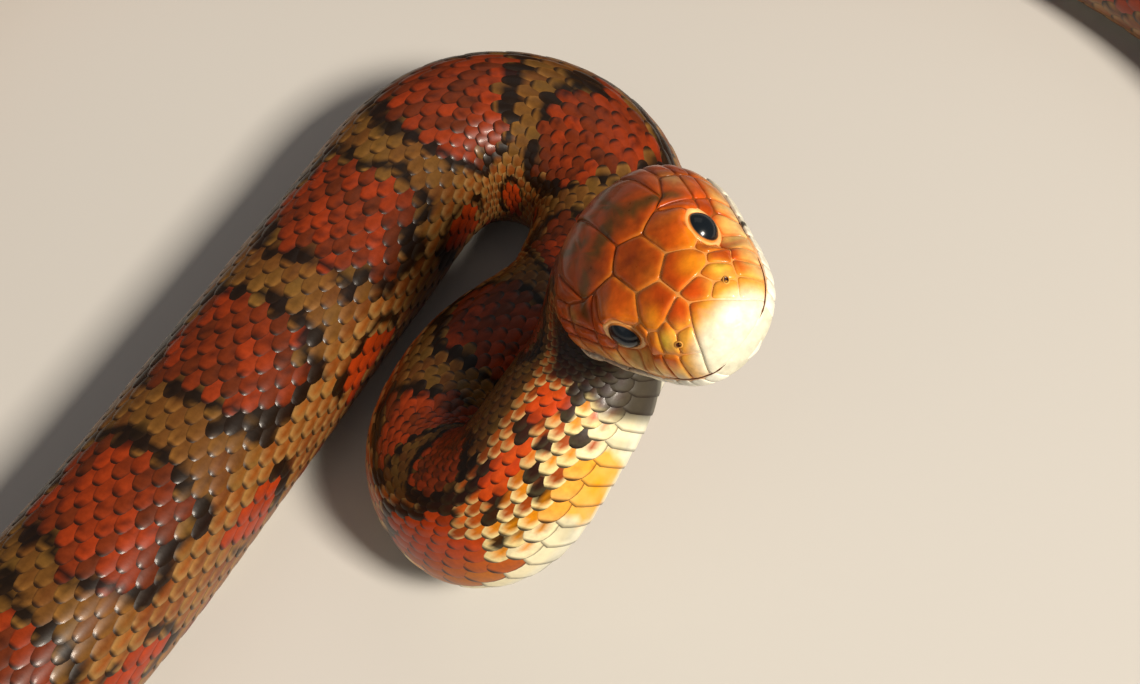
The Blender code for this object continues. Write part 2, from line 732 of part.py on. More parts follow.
def keep_largest(made: bpy.types.Object) -> None:
    """Drops every closed surface but the one with the most volume."""
    mesh = bmesh.new()
    mesh.from_mesh(made.data)
    left = set(mesh.faces)
    shells = []
    while left:
        shell = set()
        front = [left.pop()]
        while front:
            face = front.pop()
            shell.add(face)
            for edge in face.edges:
                for other in edge.link_faces:
                    if other in left:
                        left.remove(other)
                        front.append(other)
        shells.append(shell)
    shells.sort(key=shell_volume)
    for shell in shells[:-1]:
        bmesh.ops.delete(mesh, geom=list(shell), context="FACES")
    bmesh.ops.triangulate(mesh, faces=mesh.faces)
    mesh.to_mesh(made.data)
    mesh.free()


def shell_volume(shell: set) -> float:
    total = 0.0
    for face in shell:
        first, *rest = (vertex.co for vertex in face.verts)
        for one, two in zip(rest, rest[1:]):
            total += first.dot(one.cross(two)) / 6
    return total


def ball(name: str, centre: np.ndarray, radius: float, segments: int = 20) -> bpy.types.Object:
    mesh = bmesh.new()
    bmesh.ops.create_uvsphere(
        mesh, u_segments=segments, v_segments=segments // 2, radius=radius * MM
    )
    bmesh.ops.translate(mesh, verts=mesh.verts, vec=centre * MM)
    return finish(name, mesh)


def make_head(body: Body) -> None:
    """The head with its eye sockets and nostrils, the jaw under it, and the two eyes."""
    shape = HeadShape()
    jaw_shape = HeadShape(JAW_SPREAD)
    head = head_solid("head", body, shape)
    jaw = head_solid("jaw", body, jaw_shape)
    join(head, plates_of_head(body, shape))
    join(jaw, plates_of_jaw(body, jaw_shape))
    cut(head, mouth_block(body, shape, 0.0), "DIFFERENCE")
    cut(jaw, mouth_block(body, shape, GAP), "INTERSECT")
    for name, side in (("eye_left", 1.0), ("eye_right", -1.0)):
        x, y, z = EYE_CENTRE
        centre = body.head.at(x, side * y, z)
        cut(head, ball("socket", centre, EYE_RADIUS + GAP), "DIFFERENCE")
        paint(ball(name, centre, EYE_RADIUS), EYE_DARK, 0.08)
        x, y, z = NOSTRIL_CENTRE
        nostril = ball("nostril", body.head.at(x, side * y, z), NOSTRIL_RADIUS, 10)
        cut(head, nostril, "DIFFERENCE")
    paint(head, HEAD_ORANGE, 0.4)
    paint(jaw, JAW_IVORY, 0.4)


def centre_on_floor() -> None:
    """Hangs the nodes on one empty, placed so that the footprint's middle is the origin."""
    nodes = list(bpy.context.scene.objects)
    points = np.array([vertex.co for made in nodes for vertex in made.data.vertices])
    low = points.min(axis=0)
    high = points.max(axis=0)
    snake = bpy.data.objects.new("corn_snake", None)
    bpy.context.scene.collection.objects.link(snake)
    snake.location = (-(low[0] + high[0]) / 2, -(low[1] + high[1]) / 2, -low[2])
    for made in nodes:
        made.parent = snake


def main() -> None:
    for old in list(bpy.data.objects):
        bpy.data.objects.remove(old)
    body = Body()
    make_head(body)
    make_lengths(body)
    centre_on_floor()


main()
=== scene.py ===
"""Corn snake: the looks of the still, life-size model.

One skin runs from the snout to the tail's tip inside the solids. Head plates, belly scutes and some
eleven thousand overlapping scales lie on it, each a closed mesh that follows the skin and carries the
markings, with some painted shade and highlight, which come from rules along and round the body. Lengths
are millimetres until a mesh is made.
Distance s runs along the centre line from the snout. Angles are degrees from the back, left positive.
"""

import logging
import math
from collections.abc import Callable
from dataclasses import dataclass, field
from enum import Enum

import bmesh
import bpy
import numpy as np
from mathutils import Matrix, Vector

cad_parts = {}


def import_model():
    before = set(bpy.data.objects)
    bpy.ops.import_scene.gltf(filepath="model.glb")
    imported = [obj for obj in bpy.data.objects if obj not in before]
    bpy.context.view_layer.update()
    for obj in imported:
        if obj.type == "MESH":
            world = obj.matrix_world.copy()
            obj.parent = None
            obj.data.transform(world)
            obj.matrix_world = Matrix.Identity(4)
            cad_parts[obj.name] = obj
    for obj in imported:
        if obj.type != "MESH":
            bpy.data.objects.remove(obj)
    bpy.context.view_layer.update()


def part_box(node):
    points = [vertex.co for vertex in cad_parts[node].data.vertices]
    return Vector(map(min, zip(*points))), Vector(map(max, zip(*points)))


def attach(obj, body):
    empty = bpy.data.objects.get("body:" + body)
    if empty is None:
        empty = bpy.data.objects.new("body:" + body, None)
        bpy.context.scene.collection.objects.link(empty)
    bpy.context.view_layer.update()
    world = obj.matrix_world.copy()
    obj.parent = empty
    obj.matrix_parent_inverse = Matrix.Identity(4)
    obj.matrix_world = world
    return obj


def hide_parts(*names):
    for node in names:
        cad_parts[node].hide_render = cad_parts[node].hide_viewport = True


LOG = logging.getLogger("corn_snake")
MM = 0.001
Array = np.ndarray
Curve = Callable[[Array], Array]
Socket = bpy.types.NodeSocket

# The head's pose and the route, the same sizes as the solids have.
HEAD_PLACE = np.array([0.15, 0.16, 60.1])
HEAD_HEADING = -58.4
HEAD_PITCH = 28.2
HEAD_ROLL = 32.5
AXIS_HEIGHT = -2.2
SNOUT_X = 12.6
HEAD_STRAIGHT_X = (-4.0, -10.0)
HEAD_END_X = -17.5

# The centre line from the head down to the floor, with its last points resting on it.
RISE_ROUTE = (
    (-5.0, 10.8, 48.6), (-5.9, 10.5, 39.6), (-7.6, 5.2, 32.6), (-11.8, -1.1, 28.4),
    (-16.9, -6.0, 22.5), (-23.3, -5.9, 15.6), (-27.3, -1.1, 12.0), (-27.8, 5.7, 10.7),
    (-25.8, 10.8, 10.4), (-20.8, 17.0, 10.4), (-13.6, 22.2, 10.5),
)
RESTING_POINTS = 3

# The coil on the floor: a straight's length with no turn, or an arc's radius and its turn.
FLOOR_START = (-7.2, 30.8)
FLOOR_HEADING = 57.0
FLOOR_RUNS = (
    (15.0, 182.0), (62.0, 0.0), (190.0, -8.0), (40.0, 129.0), (58.0, 0.0),
    (104.0, 176.0), (68.0, 0.0), (64.0, 94.0), (88.0, 0.0), (105.0, 100.0),
)
ROUTE_STEP = 9.0

# Which way the back faces, at distances past the head's straight part.
BACK_WAYS = (
    (18.0, (-0.80, 0.52, 0.30)), (40.0, (-0.72, 0.58, 0.38)), (56.0, (-0.40, 0.42, 0.81)),
    (68.0, (-0.12, 0.08, 0.98)), (76.0, (0.0, 0.0, 1.0)),
)

# The body's distance s, half width, height of the back and depth of the belly.
BODY_SIZES = (
    (30.1, 10.0, 6.2, 7.3), (35.0, 8.8, 6.9, 8.0), (42.0, 8.6, 8.0, 9.2), (54.0, 9.2, 9.4, 10.0),
    (68.0, 9.4, 10.0, 10.4), (84.0, 9.05, 10.6, 10.9), (102.0, 9.9, 10.8, 11.3),
    (127.0, 10.8, 11.0, 11.6), (192.0, 11.8, 12.0, 12.6), (332.0, 13.2, 13.2, 13.8),
    (602.0, 14.2, 14.0, 14.6), (832.0, 12.9, 12.4, 13.0), (960.0, 9.8, 9.4, 9.8),
    (1030.0, 7.2, 7.0, 7.3), (1110.0, 3.9, 3.8, 3.9), (1156.0, 1.5, 1.5, 1.5), (1173.0, 0.7, 0.7, 0.7),
)
SECTION_BULGE = 0.88
BELLY_FLAT = 0.92

# The head's x, half width, crown, chin and the height where it is widest.
HEAD_SECTIONS = (
    (12.45, 2.2, -1.2, -5.5, -3.4), (11.8, 3.9, 0.3, -6.4, -3.6), (10.6, 5.3, 1.4, -7.0, -3.9),
    (9.0, 6.5, 2.3, -7.5, -4.2), (6.4, 7.7, 3.2, -8.0, -4.6), (3.0, 8.8, 3.9, -8.4, -4.9),
    (0.0, 9.6, 4.3, -8.7, -5.0), (-4.0, 10.7, 4.7, -9.1, -5.0), (-8.0, 11.6, 4.8, -9.4, -4.7),
    (-12.0, 12.0, 4.6, -9.5, -4.2), (-15.0, 11.6, 4.2, -9.5, -3.4), (-17.5, 10.0, 3.9, -9.5, -2.6),
)
HEAD_SIDE_POWER = 0.9
HEAD_CROWN_POWER = 0.95
HEAD_CHIN_POWER = 0.65
JAW_SPREAD = 1.04
SPREAD_EASE = 6.0

# The line between the lips, as x and height.
MOUTH_LINE = (
    (13.0, -3.5), (9.0, -4.0), (5.0, -4.5), (0.0, -5.0), (-5.0, -5.2), (-10.0, -4.7), (-15.0, -3.7),
)
MOUTH_CORNER_X = -15.0
EYE_RADIUS = 2.45
EYE_CENTRE = (-0.48, 6.38, 0.21)

# The eyes look out to the side, a little forward and up; the pupil's plane stands off the centre.
EYE_AXIS = (0.485, 0.840, 0.242)
PUPIL_OFFSET = 1.415
NOSTRIL_CENTRE = (9.15, None, 0.85)

# Edges sharper than this many degrees stay crisp, on scales and on plates.
SCALE_CREASE = 48.0
PLATE_CREASE = 60.0


class Side(Enum):
    """The head's two sides, as the sign of y in its frame."""

    LEFT = 1.0
    RIGHT = -1.0

    @property
    def tag(self) -> str:
        """The side's word in the names of pieces."""
        return self.name.lower()

    def turn(self, point: Array) -> Array:
        """A point or way of the left side carried over to this one."""
        return np.asarray(point, float) * np.array([1.0, self.value, 1.0])


class Region(Enum):
    """Which set of plates a mesh holds."""

    HEAD = "head_plates"
    JAW = "jaw_plates"


def unit(vectors: Array) -> Array:
    """Vectors scaled to length 1 along the last axis."""
    return vectors / np.linalg.norm(vectors, axis=-1, keepdims=True)


def ease(values: Array, start: float, end: float) -> Array:
    """A smooth step from 0 at start to 1 at end."""
    part = np.clip((np.asarray(values, float) - start) / (end - start), 0.0, 1.0)
    return part * part * (3 - 2 * part)


def power(values: Array, exponent: float) -> Array:
    """Values raised to the exponent with their signs kept."""
    return np.sign(values) * np.abs(values) ** exponent


def linear(code: str) -> Array:
    """The linear colour of an sRGB hex code such as '#C4361A'."""
    srgb = np.array([int(code[i : i + 2], 16) / 255 for i in (1, 3, 5)])
    return np.where(srgb <= 0.04045, srgb / 12.92, ((srgb + 0.055) / 1.055) ** 2.4)


def blend(one: Array, two: Array, share: Array) -> Array:
    """Two colours, or arrays of them, mixed by a share from 0 to 1."""
    share = np.asarray(share, float)[..., None]
    return one * (1 - share) + two * share


def wobble(a: Array, b: Array, seed: float = 0.0) -> Array:
    """Smooth noise from about -1 to 1 over two coordinates, one unit to a feature.

    Args:
        a: the first coordinate.
        b: the second coordinate.
        seed: shifts the whole pattern.

    Returns:
        The noise at each pair.
    """
    total = np.zeros(np.broadcast(a, b).shape)
    for k, (u, v, size) in enumerate(((1.0, 0.7, 0.5), (-0.8, 1.3, 0.3), (1.9, 1.7, 0.2))):
        total += size * np.sin(2.4 * u * a + seed * (k + 1.7)) * np.cos(2.4 * v * b + 1.3 * seed + k)
        total += size * np.sin(1.7 * (u * a - v * b) + 2.1 * seed + 2 * k)
    return total


def cubic_through(knots: Array, values: Array, start_slope: Array) -> Curve:
    """A smooth cubic curve through the values that leaves the first with the given slope.

    Args:
        knots: where the values stand, in rising order.
        values: one row a knot.
        start_slope: the curve's slope at the first knot.

    Returns:
        The curve, as a function of places along it.
    """
    count = len(knots)
    width = np.diff(knots)
    system = np.zeros((count, count))
    right = np.zeros_like(values)
    for i in range(1, count - 1):
        system[i, i - 1 : i + 2] = width[i - 1], 2 * (width[i - 1] + width[i]), width[i]
        rise = (values[i + 1] - values[i]) / width[i]
        right[i] = 6 * (rise - (values[i] - values[i - 1]) / width[i - 1])
    system[-1, -1] = 1.0
    system[0, :2] = 2 * width[0], width[0]
    right[0] = 6 * ((values[1] - values[0]) / width[0] - start_slope)
    bend = np.linalg.solve(system, right)

    def value(x: Array) -> Array:
        """The curve's points at x.

        Args:
            x: places along it.

        Returns:
            One row of values each.
        """
        i = np.clip(np.searchsorted(knots, x) - 1, 0, count - 2)
        h = width[i][:, None]
        near = (knots[i + 1] - x)[:, None]
        far = (x - knots[i])[:, None]
        curve = (bend[i] * near**3 + bend[i + 1] * far**3) / (6 * h)
        curve = curve + (values[i] / h - bend[i] * h / 6) * near
        return curve + (values[i + 1] / h - bend[i + 1] * h / 6) * far

    return value


def eased_through(rows: tuple) -> Curve:
    """A curve through rows of a key and its values that never overshoots them.

    Args:
        rows: a key and its values in each row.

    Returns:
        The curve, as a function of keys.
    """
    table = np.array(sorted(rows), float)
    knots, values = table[:, 0], table[:, 1:]
    width = np.diff(knots)[:, None]
    rise = np.diff(values, axis=0) / width
    slope = np.zeros_like(values)
    slope[0], slope[-1] = rise[0], rise[-1]
    same_way = rise[:-1] * rise[1:] > 0
    weight_a = 2 * width[1:] + width[:-1]
    weight_b = width[1:] + 2 * width[:-1]
    safe_a = np.where(same_way, rise[:-1], 1.0)
    safe_b = np.where(same_way, rise[1:], 1.0)
    mean = (weight_a + weight_b) / (weight_a / safe_a + weight_b / safe_b)
    slope[1:-1] = np.where(same_way, mean, 0.0)

    def value(x: Array) -> Array:
        """The curve's values at x, one row each.

        Args:
            x: keys.

        Returns:
            One row of values each.
        """
        x = np.clip(np.atleast_1d(np.asarray(x, float)), knots[0], knots[-1])
        i = np.clip(np.searchsorted(knots, x) - 1, 0, len(knots) - 2)
        h = width[i]
        t = (x[:, None] - knots[i][:, None]) / h
        first = (1 + 2 * t) * (1 - t) ** 2 * values[i] + t * (1 - t) ** 2 * h * slope[i]
        return first + t**2 * (3 - 2 * t) * values[i + 1] + t**2 * (t - 1) * h * slope[i + 1]

    return value


@dataclass
class CentreLine:
    """The line from the snout to the tail's tip, with the way that the back faces along it."""

    shift: Array
    step: float = 0.5
    probe: float = 0.05

    def __post_init__(self) -> None:
        """Works out the table of places, axes and sizes along the line."""
        heading, pitch, roll = (math.radians(a) for a in (HEAD_HEADING, HEAD_PITCH, HEAD_ROLL))
        level = np.array([math.cos(heading), math.sin(heading), 0.0])
        side = np.array([-math.sin(heading), math.cos(heading), 0.0])
        self.head_forward = math.cos(pitch) * level + np.array([0.0, 0.0, math.sin(pitch)])
        plumb = np.cross(self.head_forward, side)
        self.head_up = math.cos(roll) * plumb - math.sin(roll) * side
        self.head_left = np.cross(self.head_up, self.head_forward)
        self.base = SNOUT_X - HEAD_STRAIGHT_X[0]
        self.sizes = eased_through(BODY_SIZES)
        starts = [self.on_head(x, 0.0, AXIS_HEIGHT) - self.shift for x in HEAD_STRAIGHT_X]
        route = np.array([*starts, *map(np.array, RISE_ROUTE), *self.floor_route()])
        gaps = np.linalg.norm(np.diff(route, axis=0), axis=1)
        knots = self.base + np.r_[0.0, np.cumsum(gaps)]
        first = len(starts) + len(RISE_ROUTE) - RESTING_POINTS
        route[first:, 2] = self.sizes(knots[first:])[:, 2] * BELLY_FLAT
        self.floor_from = knots[first]
        self.length = knots[-1]
        self.curve = cubic_through(knots, route, -self.head_forward)
        hints = [(self.base, *unit(self.head_up))]
        hints += [(self.base + s, *unit(np.array(way))) for s, way in BACK_WAYS]
        self.table_s = np.arange(0.0, self.length, self.step)
        places, forward, left, up = self.frames(self.table_s, eased_through(tuple(hints)))
        self.table = np.concatenate([places, forward, left, up], axis=1)

    @staticmethod
    def floor_route() -> list[Array]:
        """Points of the coil on the floor.

        Returns:
            The points in order, the first under the forebody.
        """
        place = np.array([*FLOOR_START, 0.0])
        heading = math.radians(FLOOR_HEADING)
        points = [place.copy()]
        for size, angle in FLOOR_RUNS:
            length = size * math.radians(abs(angle)) if angle else size
            turn = math.radians(angle)
            steps = max(1, round(length / ROUTE_STEP))
            for _ in range(steps):
                middle = heading + turn / steps / 2
                place = place + length / steps * np.array([math.cos(middle), math.sin(middle), 0.0])
                heading += turn / steps
                points.append(place.copy())
        return points

    def on_head(self, x: float, y: float, z: float) -> Array:
        """The place of a point in the head's frame: x to the snout, y left and z to the crown."""
        axes = x * self.head_forward + y * self.head_left + z * self.head_up
        return HEAD_PLACE + axes + self.shift

    def points(self, s: Array) -> Array:
        """Places on the line at distances s from the snout.

        Args:
            s: distances from the snout.

        Returns:
            The places, one row each.
        """
        places = self.curve(np.clip(s, self.base, self.length))
        resting = s > self.floor_from
        places[resting, 2] = self.sizes(s[resting])[:, 2] * BELLY_FLAT
        places += self.shift
        ahead = s < self.base
        start = self.on_head(SNOUT_X, 0.0, AXIS_HEIGHT)
        places[ahead] = start - s[ahead, None] * self.head_forward
        return places

    def frames(self, s: Array, hints: Curve) -> tuple[Array, Array, Array, Array]:
        """Places and the forward, left and up axes at distances s.

        Args:
            s: distances from the snout.
            hints: which way the back faces at a distance.

        Returns:
            The places and the three unit axes.
        """
        end = np.minimum(s, self.length - self.probe)
        forward = unit(self.points(end - self.probe) - self.points(end + self.probe))
        resting = s > self.floor_from
        forward[resting, 2] = 0.0
        forward = unit(forward)
        ahead = s <= self.base
        forward[ahead] = self.head_forward
        hint = hints(s)
        hint[ahead] = self.head_up
        left = unit(np.cross(hint, forward))
        return self.points(s), forward, left, np.cross(forward, left)

    def at(self, s: Array) -> tuple[Array, Array, Array, Array]:
        """Places and axes at distances s, read from the table.

        Args:
            s: distances from the snout.

        Returns:
            The places and the forward, left and up axes.
        """
        s = np.clip(s, 0.0, self.table_s[-1] - 1e-6)
        i = np.minimum((s / self.step).astype(int), len(self.table_s) - 2)
        t = (s / self.step - i)[:, None]
        row = self.table[i] * (1 - t) + self.table[i + 1] * t
        return row[:, :3], unit(row[:, 3:6]), unit(row[:, 6:9]), unit(row[:, 9:12])


@dataclass
class Form:
    """The snake's outer surface: distance s from the snout and angle from the back, left positive."""

    line: CentreLine
    head_end: tuple[float, float] = (27.0, 33.0)
    arc_points: int = 721
    belly_ratio: float = 1.04
    probe_degrees: float = 1.5
    eye_zone: tuple[float, float] = (6.0, 20.0)
    eye_reach: tuple[float, float] = (2.5, 4.9)
    eye_depth: float = 3.5
    eye_plane: float = -0.22
    pupil_dip: float = 0.5
    pupil_edge: tuple[float, float] = (1.9, 2.25)
    land_reach: float = 24.0
    land_rounds: int = 30

    def __post_init__(self) -> None:
        """Prepares the head's curves and the table from arc share to angle."""
        self.head_sizes = eased_through(HEAD_SECTIONS)
        self.mouth = eased_through(MOUTH_LINE)
        angle = np.linspace(0.0, math.pi, self.arc_points)
        level = np.ones(self.arc_points)
        y, z = self.loaf(angle, level, level, level * self.belly_ratio)
        arc = np.r_[0.0, np.cumsum(np.hypot(np.diff(y), np.diff(z)))]
        self.arc_angle = np.degrees(angle)
        self.arc_share = arc / arc[-1]

    @staticmethod
    def loaf(angle: Array, width: Array, back: Array, belly: Array) -> tuple:
        """Points of a body section: rounded, with a flat belly.

        Args:
            angle: angles from the back, in radians.
            width: half widths.
            back: heights of the back.
            belly: depths of the belly.

        Returns:
            How far left and how far up each point lies.
        """
        y = width * power(np.sin(angle), SECTION_BULGE)
        z = power(np.cos(angle), SECTION_BULGE)
        return y, np.where(z > 0, z * back, np.maximum(z * belly, -BELLY_FLAT * belly))

    def share_of(self, angle: float) -> float:
        """The share of the half girth from the back to an angle in degrees."""
        return float(np.interp(angle, self.arc_angle, self.arc_share))

    def angle_of(self, share: Array) -> Array:
        """Signed angles in degrees at signed shares of the half girth."""
        return np.sign(share) * np.interp(np.abs(share), self.arc_share, self.arc_angle)

    def head_section(self, x: Array, angle: Array) -> tuple:
        """Points y and z of the head's section at x.

        Args:
            x: places along the head's axis.
            angle: angles from the crown, in radians.

        Returns:
            How far left and how far up each point lies.
        """
        width, crown, chin, level = self.head_sizes(x).T
        y = width * power(np.sin(angle), HEAD_SIDE_POWER)
        above = level + power(np.cos(angle), HEAD_CROWN_POWER) * (crown - level)
        below = level + power(np.cos(angle), HEAD_CHIN_POWER) * (level - chin)
        z = np.where(np.cos(angle) > 0, above, below)
        lower = ease(self.mouth(x)[:, 0] - z, -0.05, 0.15) * self.spread(x)
        return y * (1 + (JAW_SPREAD - 1) * lower), z

    @staticmethod
    def spread(x: Array) -> Array:
        """How fully the jaw's extra width shows at x."""
        return np.clip((x - HEAD_END_X) / SPREAD_EASE, 0.0, 1.0)

    def section(self, s: Array, degrees: Array) -> Array:
        """Points of the surface, as their places left and up of the centre line.

        Args:
            s, degrees: where each point lies.

        Returns:
            One row a point.
        """
        angle = np.radians(degrees)
        size = self.line.sizes(s)
        y, z = self.loaf(angle, size[:, 0], size[:, 1], size[:, 2])
        hy, hz = self.head_section(SNOUT_X - s, angle)
        share = ease(s, *self.head_end)
        y = hy * (1 - share) + y * share
        z = (hz - AXIS_HEIGHT) * (1 - share) + z * share
        return np.stack([y, z], axis=1)

    def place(self, s: Array, degrees: Array, lift: Array) -> Array:
        """Places on the surface, raised by lift along its normal, in millimetres.

        Args:
            s, degrees: where each point lies.
            lift: how far each point is raised, below 0 for under the surface.

        Returns:
            Places in the model, one row each.
        """
        s, degrees, lift = (np.ravel(a).astype(float) for a in np.broadcast_arrays(s, degrees, lift))
        turn = self.probe_degrees
        here = self.section(s, degrees)
        along = self.section(s, degrees + turn) - self.section(s, degrees - turn)
        normal = unit(np.stack([along[:, 1], -along[:, 0]], axis=1) + 1e-12)
        outward = np.stack([np.sin(np.radians(degrees)), np.cos(np.radians(degrees))], axis=1)
        normal *= np.where((normal * outward).sum(axis=1) < 0, -1.0, 1.0)[:, None]
        here = here + normal * lift[:, None]
        near_eye = (s > self.eye_zone[0]) & (s < self.eye_zone[1])
        if near_eye.any():
            x, y, z = SNOUT_X - s[near_eye], here[near_eye, 0], here[near_eye, 1] + AXIS_HEIGHT
            shift = self.eye_shift(np.stack([x, y, z], axis=1))
            s = s.copy()
            s[near_eye] -= shift[:, 0]
            here[near_eye] += shift[:, 1:]
        places, _, left, up = self.line.at(s)
        found = places + here[:, :1] * left + here[:, 1:] * up
        found[:, 2] = np.maximum(found[:, 2], 0.0)
        return found

    def outside(self, points: Array, spread: float) -> Array:
        """Above 0 for points of the head's frame outside its surface and below 0 inside it.

        Args:
            points: places in the head's frame, one row each.
            spread: how much wider than the head the surface is.

        Returns:
            Numbers that are 0 on the surface.
        """
        width, crown, chin, level = self.head_sizes(points[:, 0]).T
        width = width * (1 + (spread - 1) * self.spread(points[:, 0]))
        above = points[:, 2] > level
        height = np.where(above, crown - level, level - chin)
        rounding = np.where(above, HEAD_CROWN_POWER, HEAD_CHIN_POWER)
        across = np.abs(points[:, 1] / width) ** (2 / HEAD_SIDE_POWER)
        along = np.abs((points[:, 2] - level) / height) ** (2 / rounding)
        return np.maximum(across + along - 1, points[:, 0] - HEAD_SECTIONS[0][0])

    def land(self, points: Array, way: Array, spread: float = 1.0) -> Array:
        """Where lines through inner points, which come in along way, meet the head.

        Args:
            points: inner points in the head's frame, one row each.
            way: the way in along each line.
            spread: how much wider than the head the surface is.

        Returns:
            The points where the lines meet the surface.
        """
        inner = np.zeros(len(points))
        outer = np.full(len(points), self.land_reach)
        for _ in range(self.land_rounds):
            middle = (inner + outer) / 2
            out = self.outside(points - middle[:, None] * way, spread) > 0
            outer = np.where(out, middle, outer)
            inner = np.where(out, inner, middle)
        return points - outer[:, None] * way

    def head_normals(self, points: Array, spread: float = 1.0) -> Array:
        """Outward unit normals of the head's surface near the points.

        Args:
            points: places in the head's frame, one row each.
            spread: how much wider than the head the surface is.

        Returns:
            The normals, one row each.
        """
        moves = 0.15 * np.eye(3)
        slopes = [self.outside(points + m, spread) - self.outside(points - m, spread) for m in moves]
        return unit(np.stack(slopes, axis=1))

    @staticmethod
    def eye_axes(side: Side) -> tuple:
        """The pupil's middle and the eye's outward, forward and upward ways in the head's frame.

        Args:
            side: the head's side.

        Returns:
            The middle, then the three unit ways.
        """
        axis = unit(np.array(EYE_AXIS))
        ahead = unit(np.array([1.0, 0.0, 0.0]) - axis[0] * axis)
        upward = np.cross(ahead, axis)
        upward = upward * (1.0 if upward[2] > 0 else -1.0)
        middle = np.array(EYE_CENTRE) + PUPIL_OFFSET * axis
        return side.turn(middle), side.turn(axis), side.turn(ahead), side.turn(upward)

    def eye_shift(self, points: Array) -> Array:
        """How far points of the head's surface move, so that it meets each eye squarely.

        Args:
            points: places in the head's frame, one row each.

        Returns:
            The move of each point.
        """
        moved = np.zeros_like(points)
        for side in Side:
            middle, axis, _, _ = self.eye_axes(side)
            away = points - middle
            depth = away @ axis
            distance = np.linalg.norm(away - depth[:, None] * axis, axis=1)
            near = (distance < self.eye_reach[1]) & (depth > -self.eye_depth)
            share = (1 - ease(distance, *self.eye_reach)) * near
            target = self.eye_plane - self.pupil_dip * (1 - ease(distance, *self.pupil_edge))
            moved += (share * (target - depth))[:, None] * axis
        return moved

    def from_head(self, points: Array) -> Array:
        """Places in the model of points given in the head's frame, which bends with the neck.

        Args:
            points: places in the head's frame, one row each.

        Returns:
            Places in the model, one row each.
        """
        places, _, left, up = self.line.at(SNOUT_X - points[:, 0])
        ahead = np.maximum(points[:, 0] - SNOUT_X, 0.0)[:, None] * self.line.head_forward
        return places + ahead + points[:, 1:2] * left + (points[:, 2:3] - AXIS_HEIGHT) * up


def pigment(code: str) -> Array:
    """A dataclass field that holds the colour of an sRGB hex code as one row."""
    return field(default_factory=lambda: linear(code)[None])


@dataclass(frozen=True)
class Tints:
    """Colours of a normal corn snake as the photo's lamp shows them."""

    blotch: Array = pigment("#BC3C0A")
    saddle: Array = pigment("#5A240A")
    border: Array = pigment("#0B0503")
    orange: Array = pigment("#C8580E")
    tan: Array = pigment("#B07A38")
    cream: Array = pigment("#F0DC9C")
    olive: Array = pigment("#64461A")
    amber: Array = pigment("#F4A206")
    ivory: Array = pigment("#EEEBD2")
    # shade: a painted shadow of the head over the neck behind the jaws, with some dark pigment.
    shade: Array = pigment("#1A0D0B")
    # rim: a painted shade for the gaps between scales and scutes, and on their walls.
    rim: Array = pigment("#1E110A")
    head: Array = pigment("#D45A08")
    head_red: Array = pigment("#A83C06")
    head_olive: Array = pigment("#4A3A14")
    head_fleck: Array = pigment("#8A2C06")
    head_gold: Array = pigment("#F4B23C")
    lip: Array = pigment("#F0D08A")
    groove: Array = pigment("#F0A050")
    groove_dark: Array = pigment("#8F420C")
    mouth: Array = pigment("#5A2C18")
    eye_rim: Array = pigment("#E08A35")
    eye_rim_pale: Array = pigment("#FFD08A")
    nostril_edge: Array = pigment("#E9A64C")
    nostril_hole: Array = pigment("#3A140A")


@dataclass(frozen=True)
class Blotch:
    """One mark: its place, half lengths along the body and round it, and how it slants."""

    s: float
    angle: float
    along: float
    round: float
    slant: float = 0.0

    def reach(self, s: Array, angle: Array, wave: Array) -> Array:
        """How far out in the mark a point lies: 1 at its edge.

        Args:
            s, angle: where each point lies.
            wave: a slow wobble from about -1 to 1.

        Returns:
            0 in the mark's middle and over 1 outside it.
        """
        a = np.abs(s - self.s - self.slant * (angle - self.angle)) / self.along
        b = np.abs(angle - self.angle) / self.round
        return (a**3 + b**3) ** (1 / 3) + 0.16 * wave


@dataclass(frozen=True)
class Glow:
    """A soft spot of one pigment on both sides of the head, in its frame; no z is any height."""

    x: float
    y: float
    z: float | None
    size: float
    tone: str
    strength: float

    def share(self, points: Array, wave: Array) -> Array:
        """How much of the pigment each point has.

        Args:
            points: places in the head's frame, one row each.
            wave: a slow wobble from about -1 to 1.

        Returns:
            A share from 0 to 1.
        """
        rise = 0.0 if self.z is None else points[:, 2] - self.z
        away = (points[:, 0] - self.x) ** 2 + (np.abs(points[:, 1]) - self.y) ** 2 + rise**2
        return self.strength * np.exp(-away / self.size**2 * (1 + 0.35 * wave))


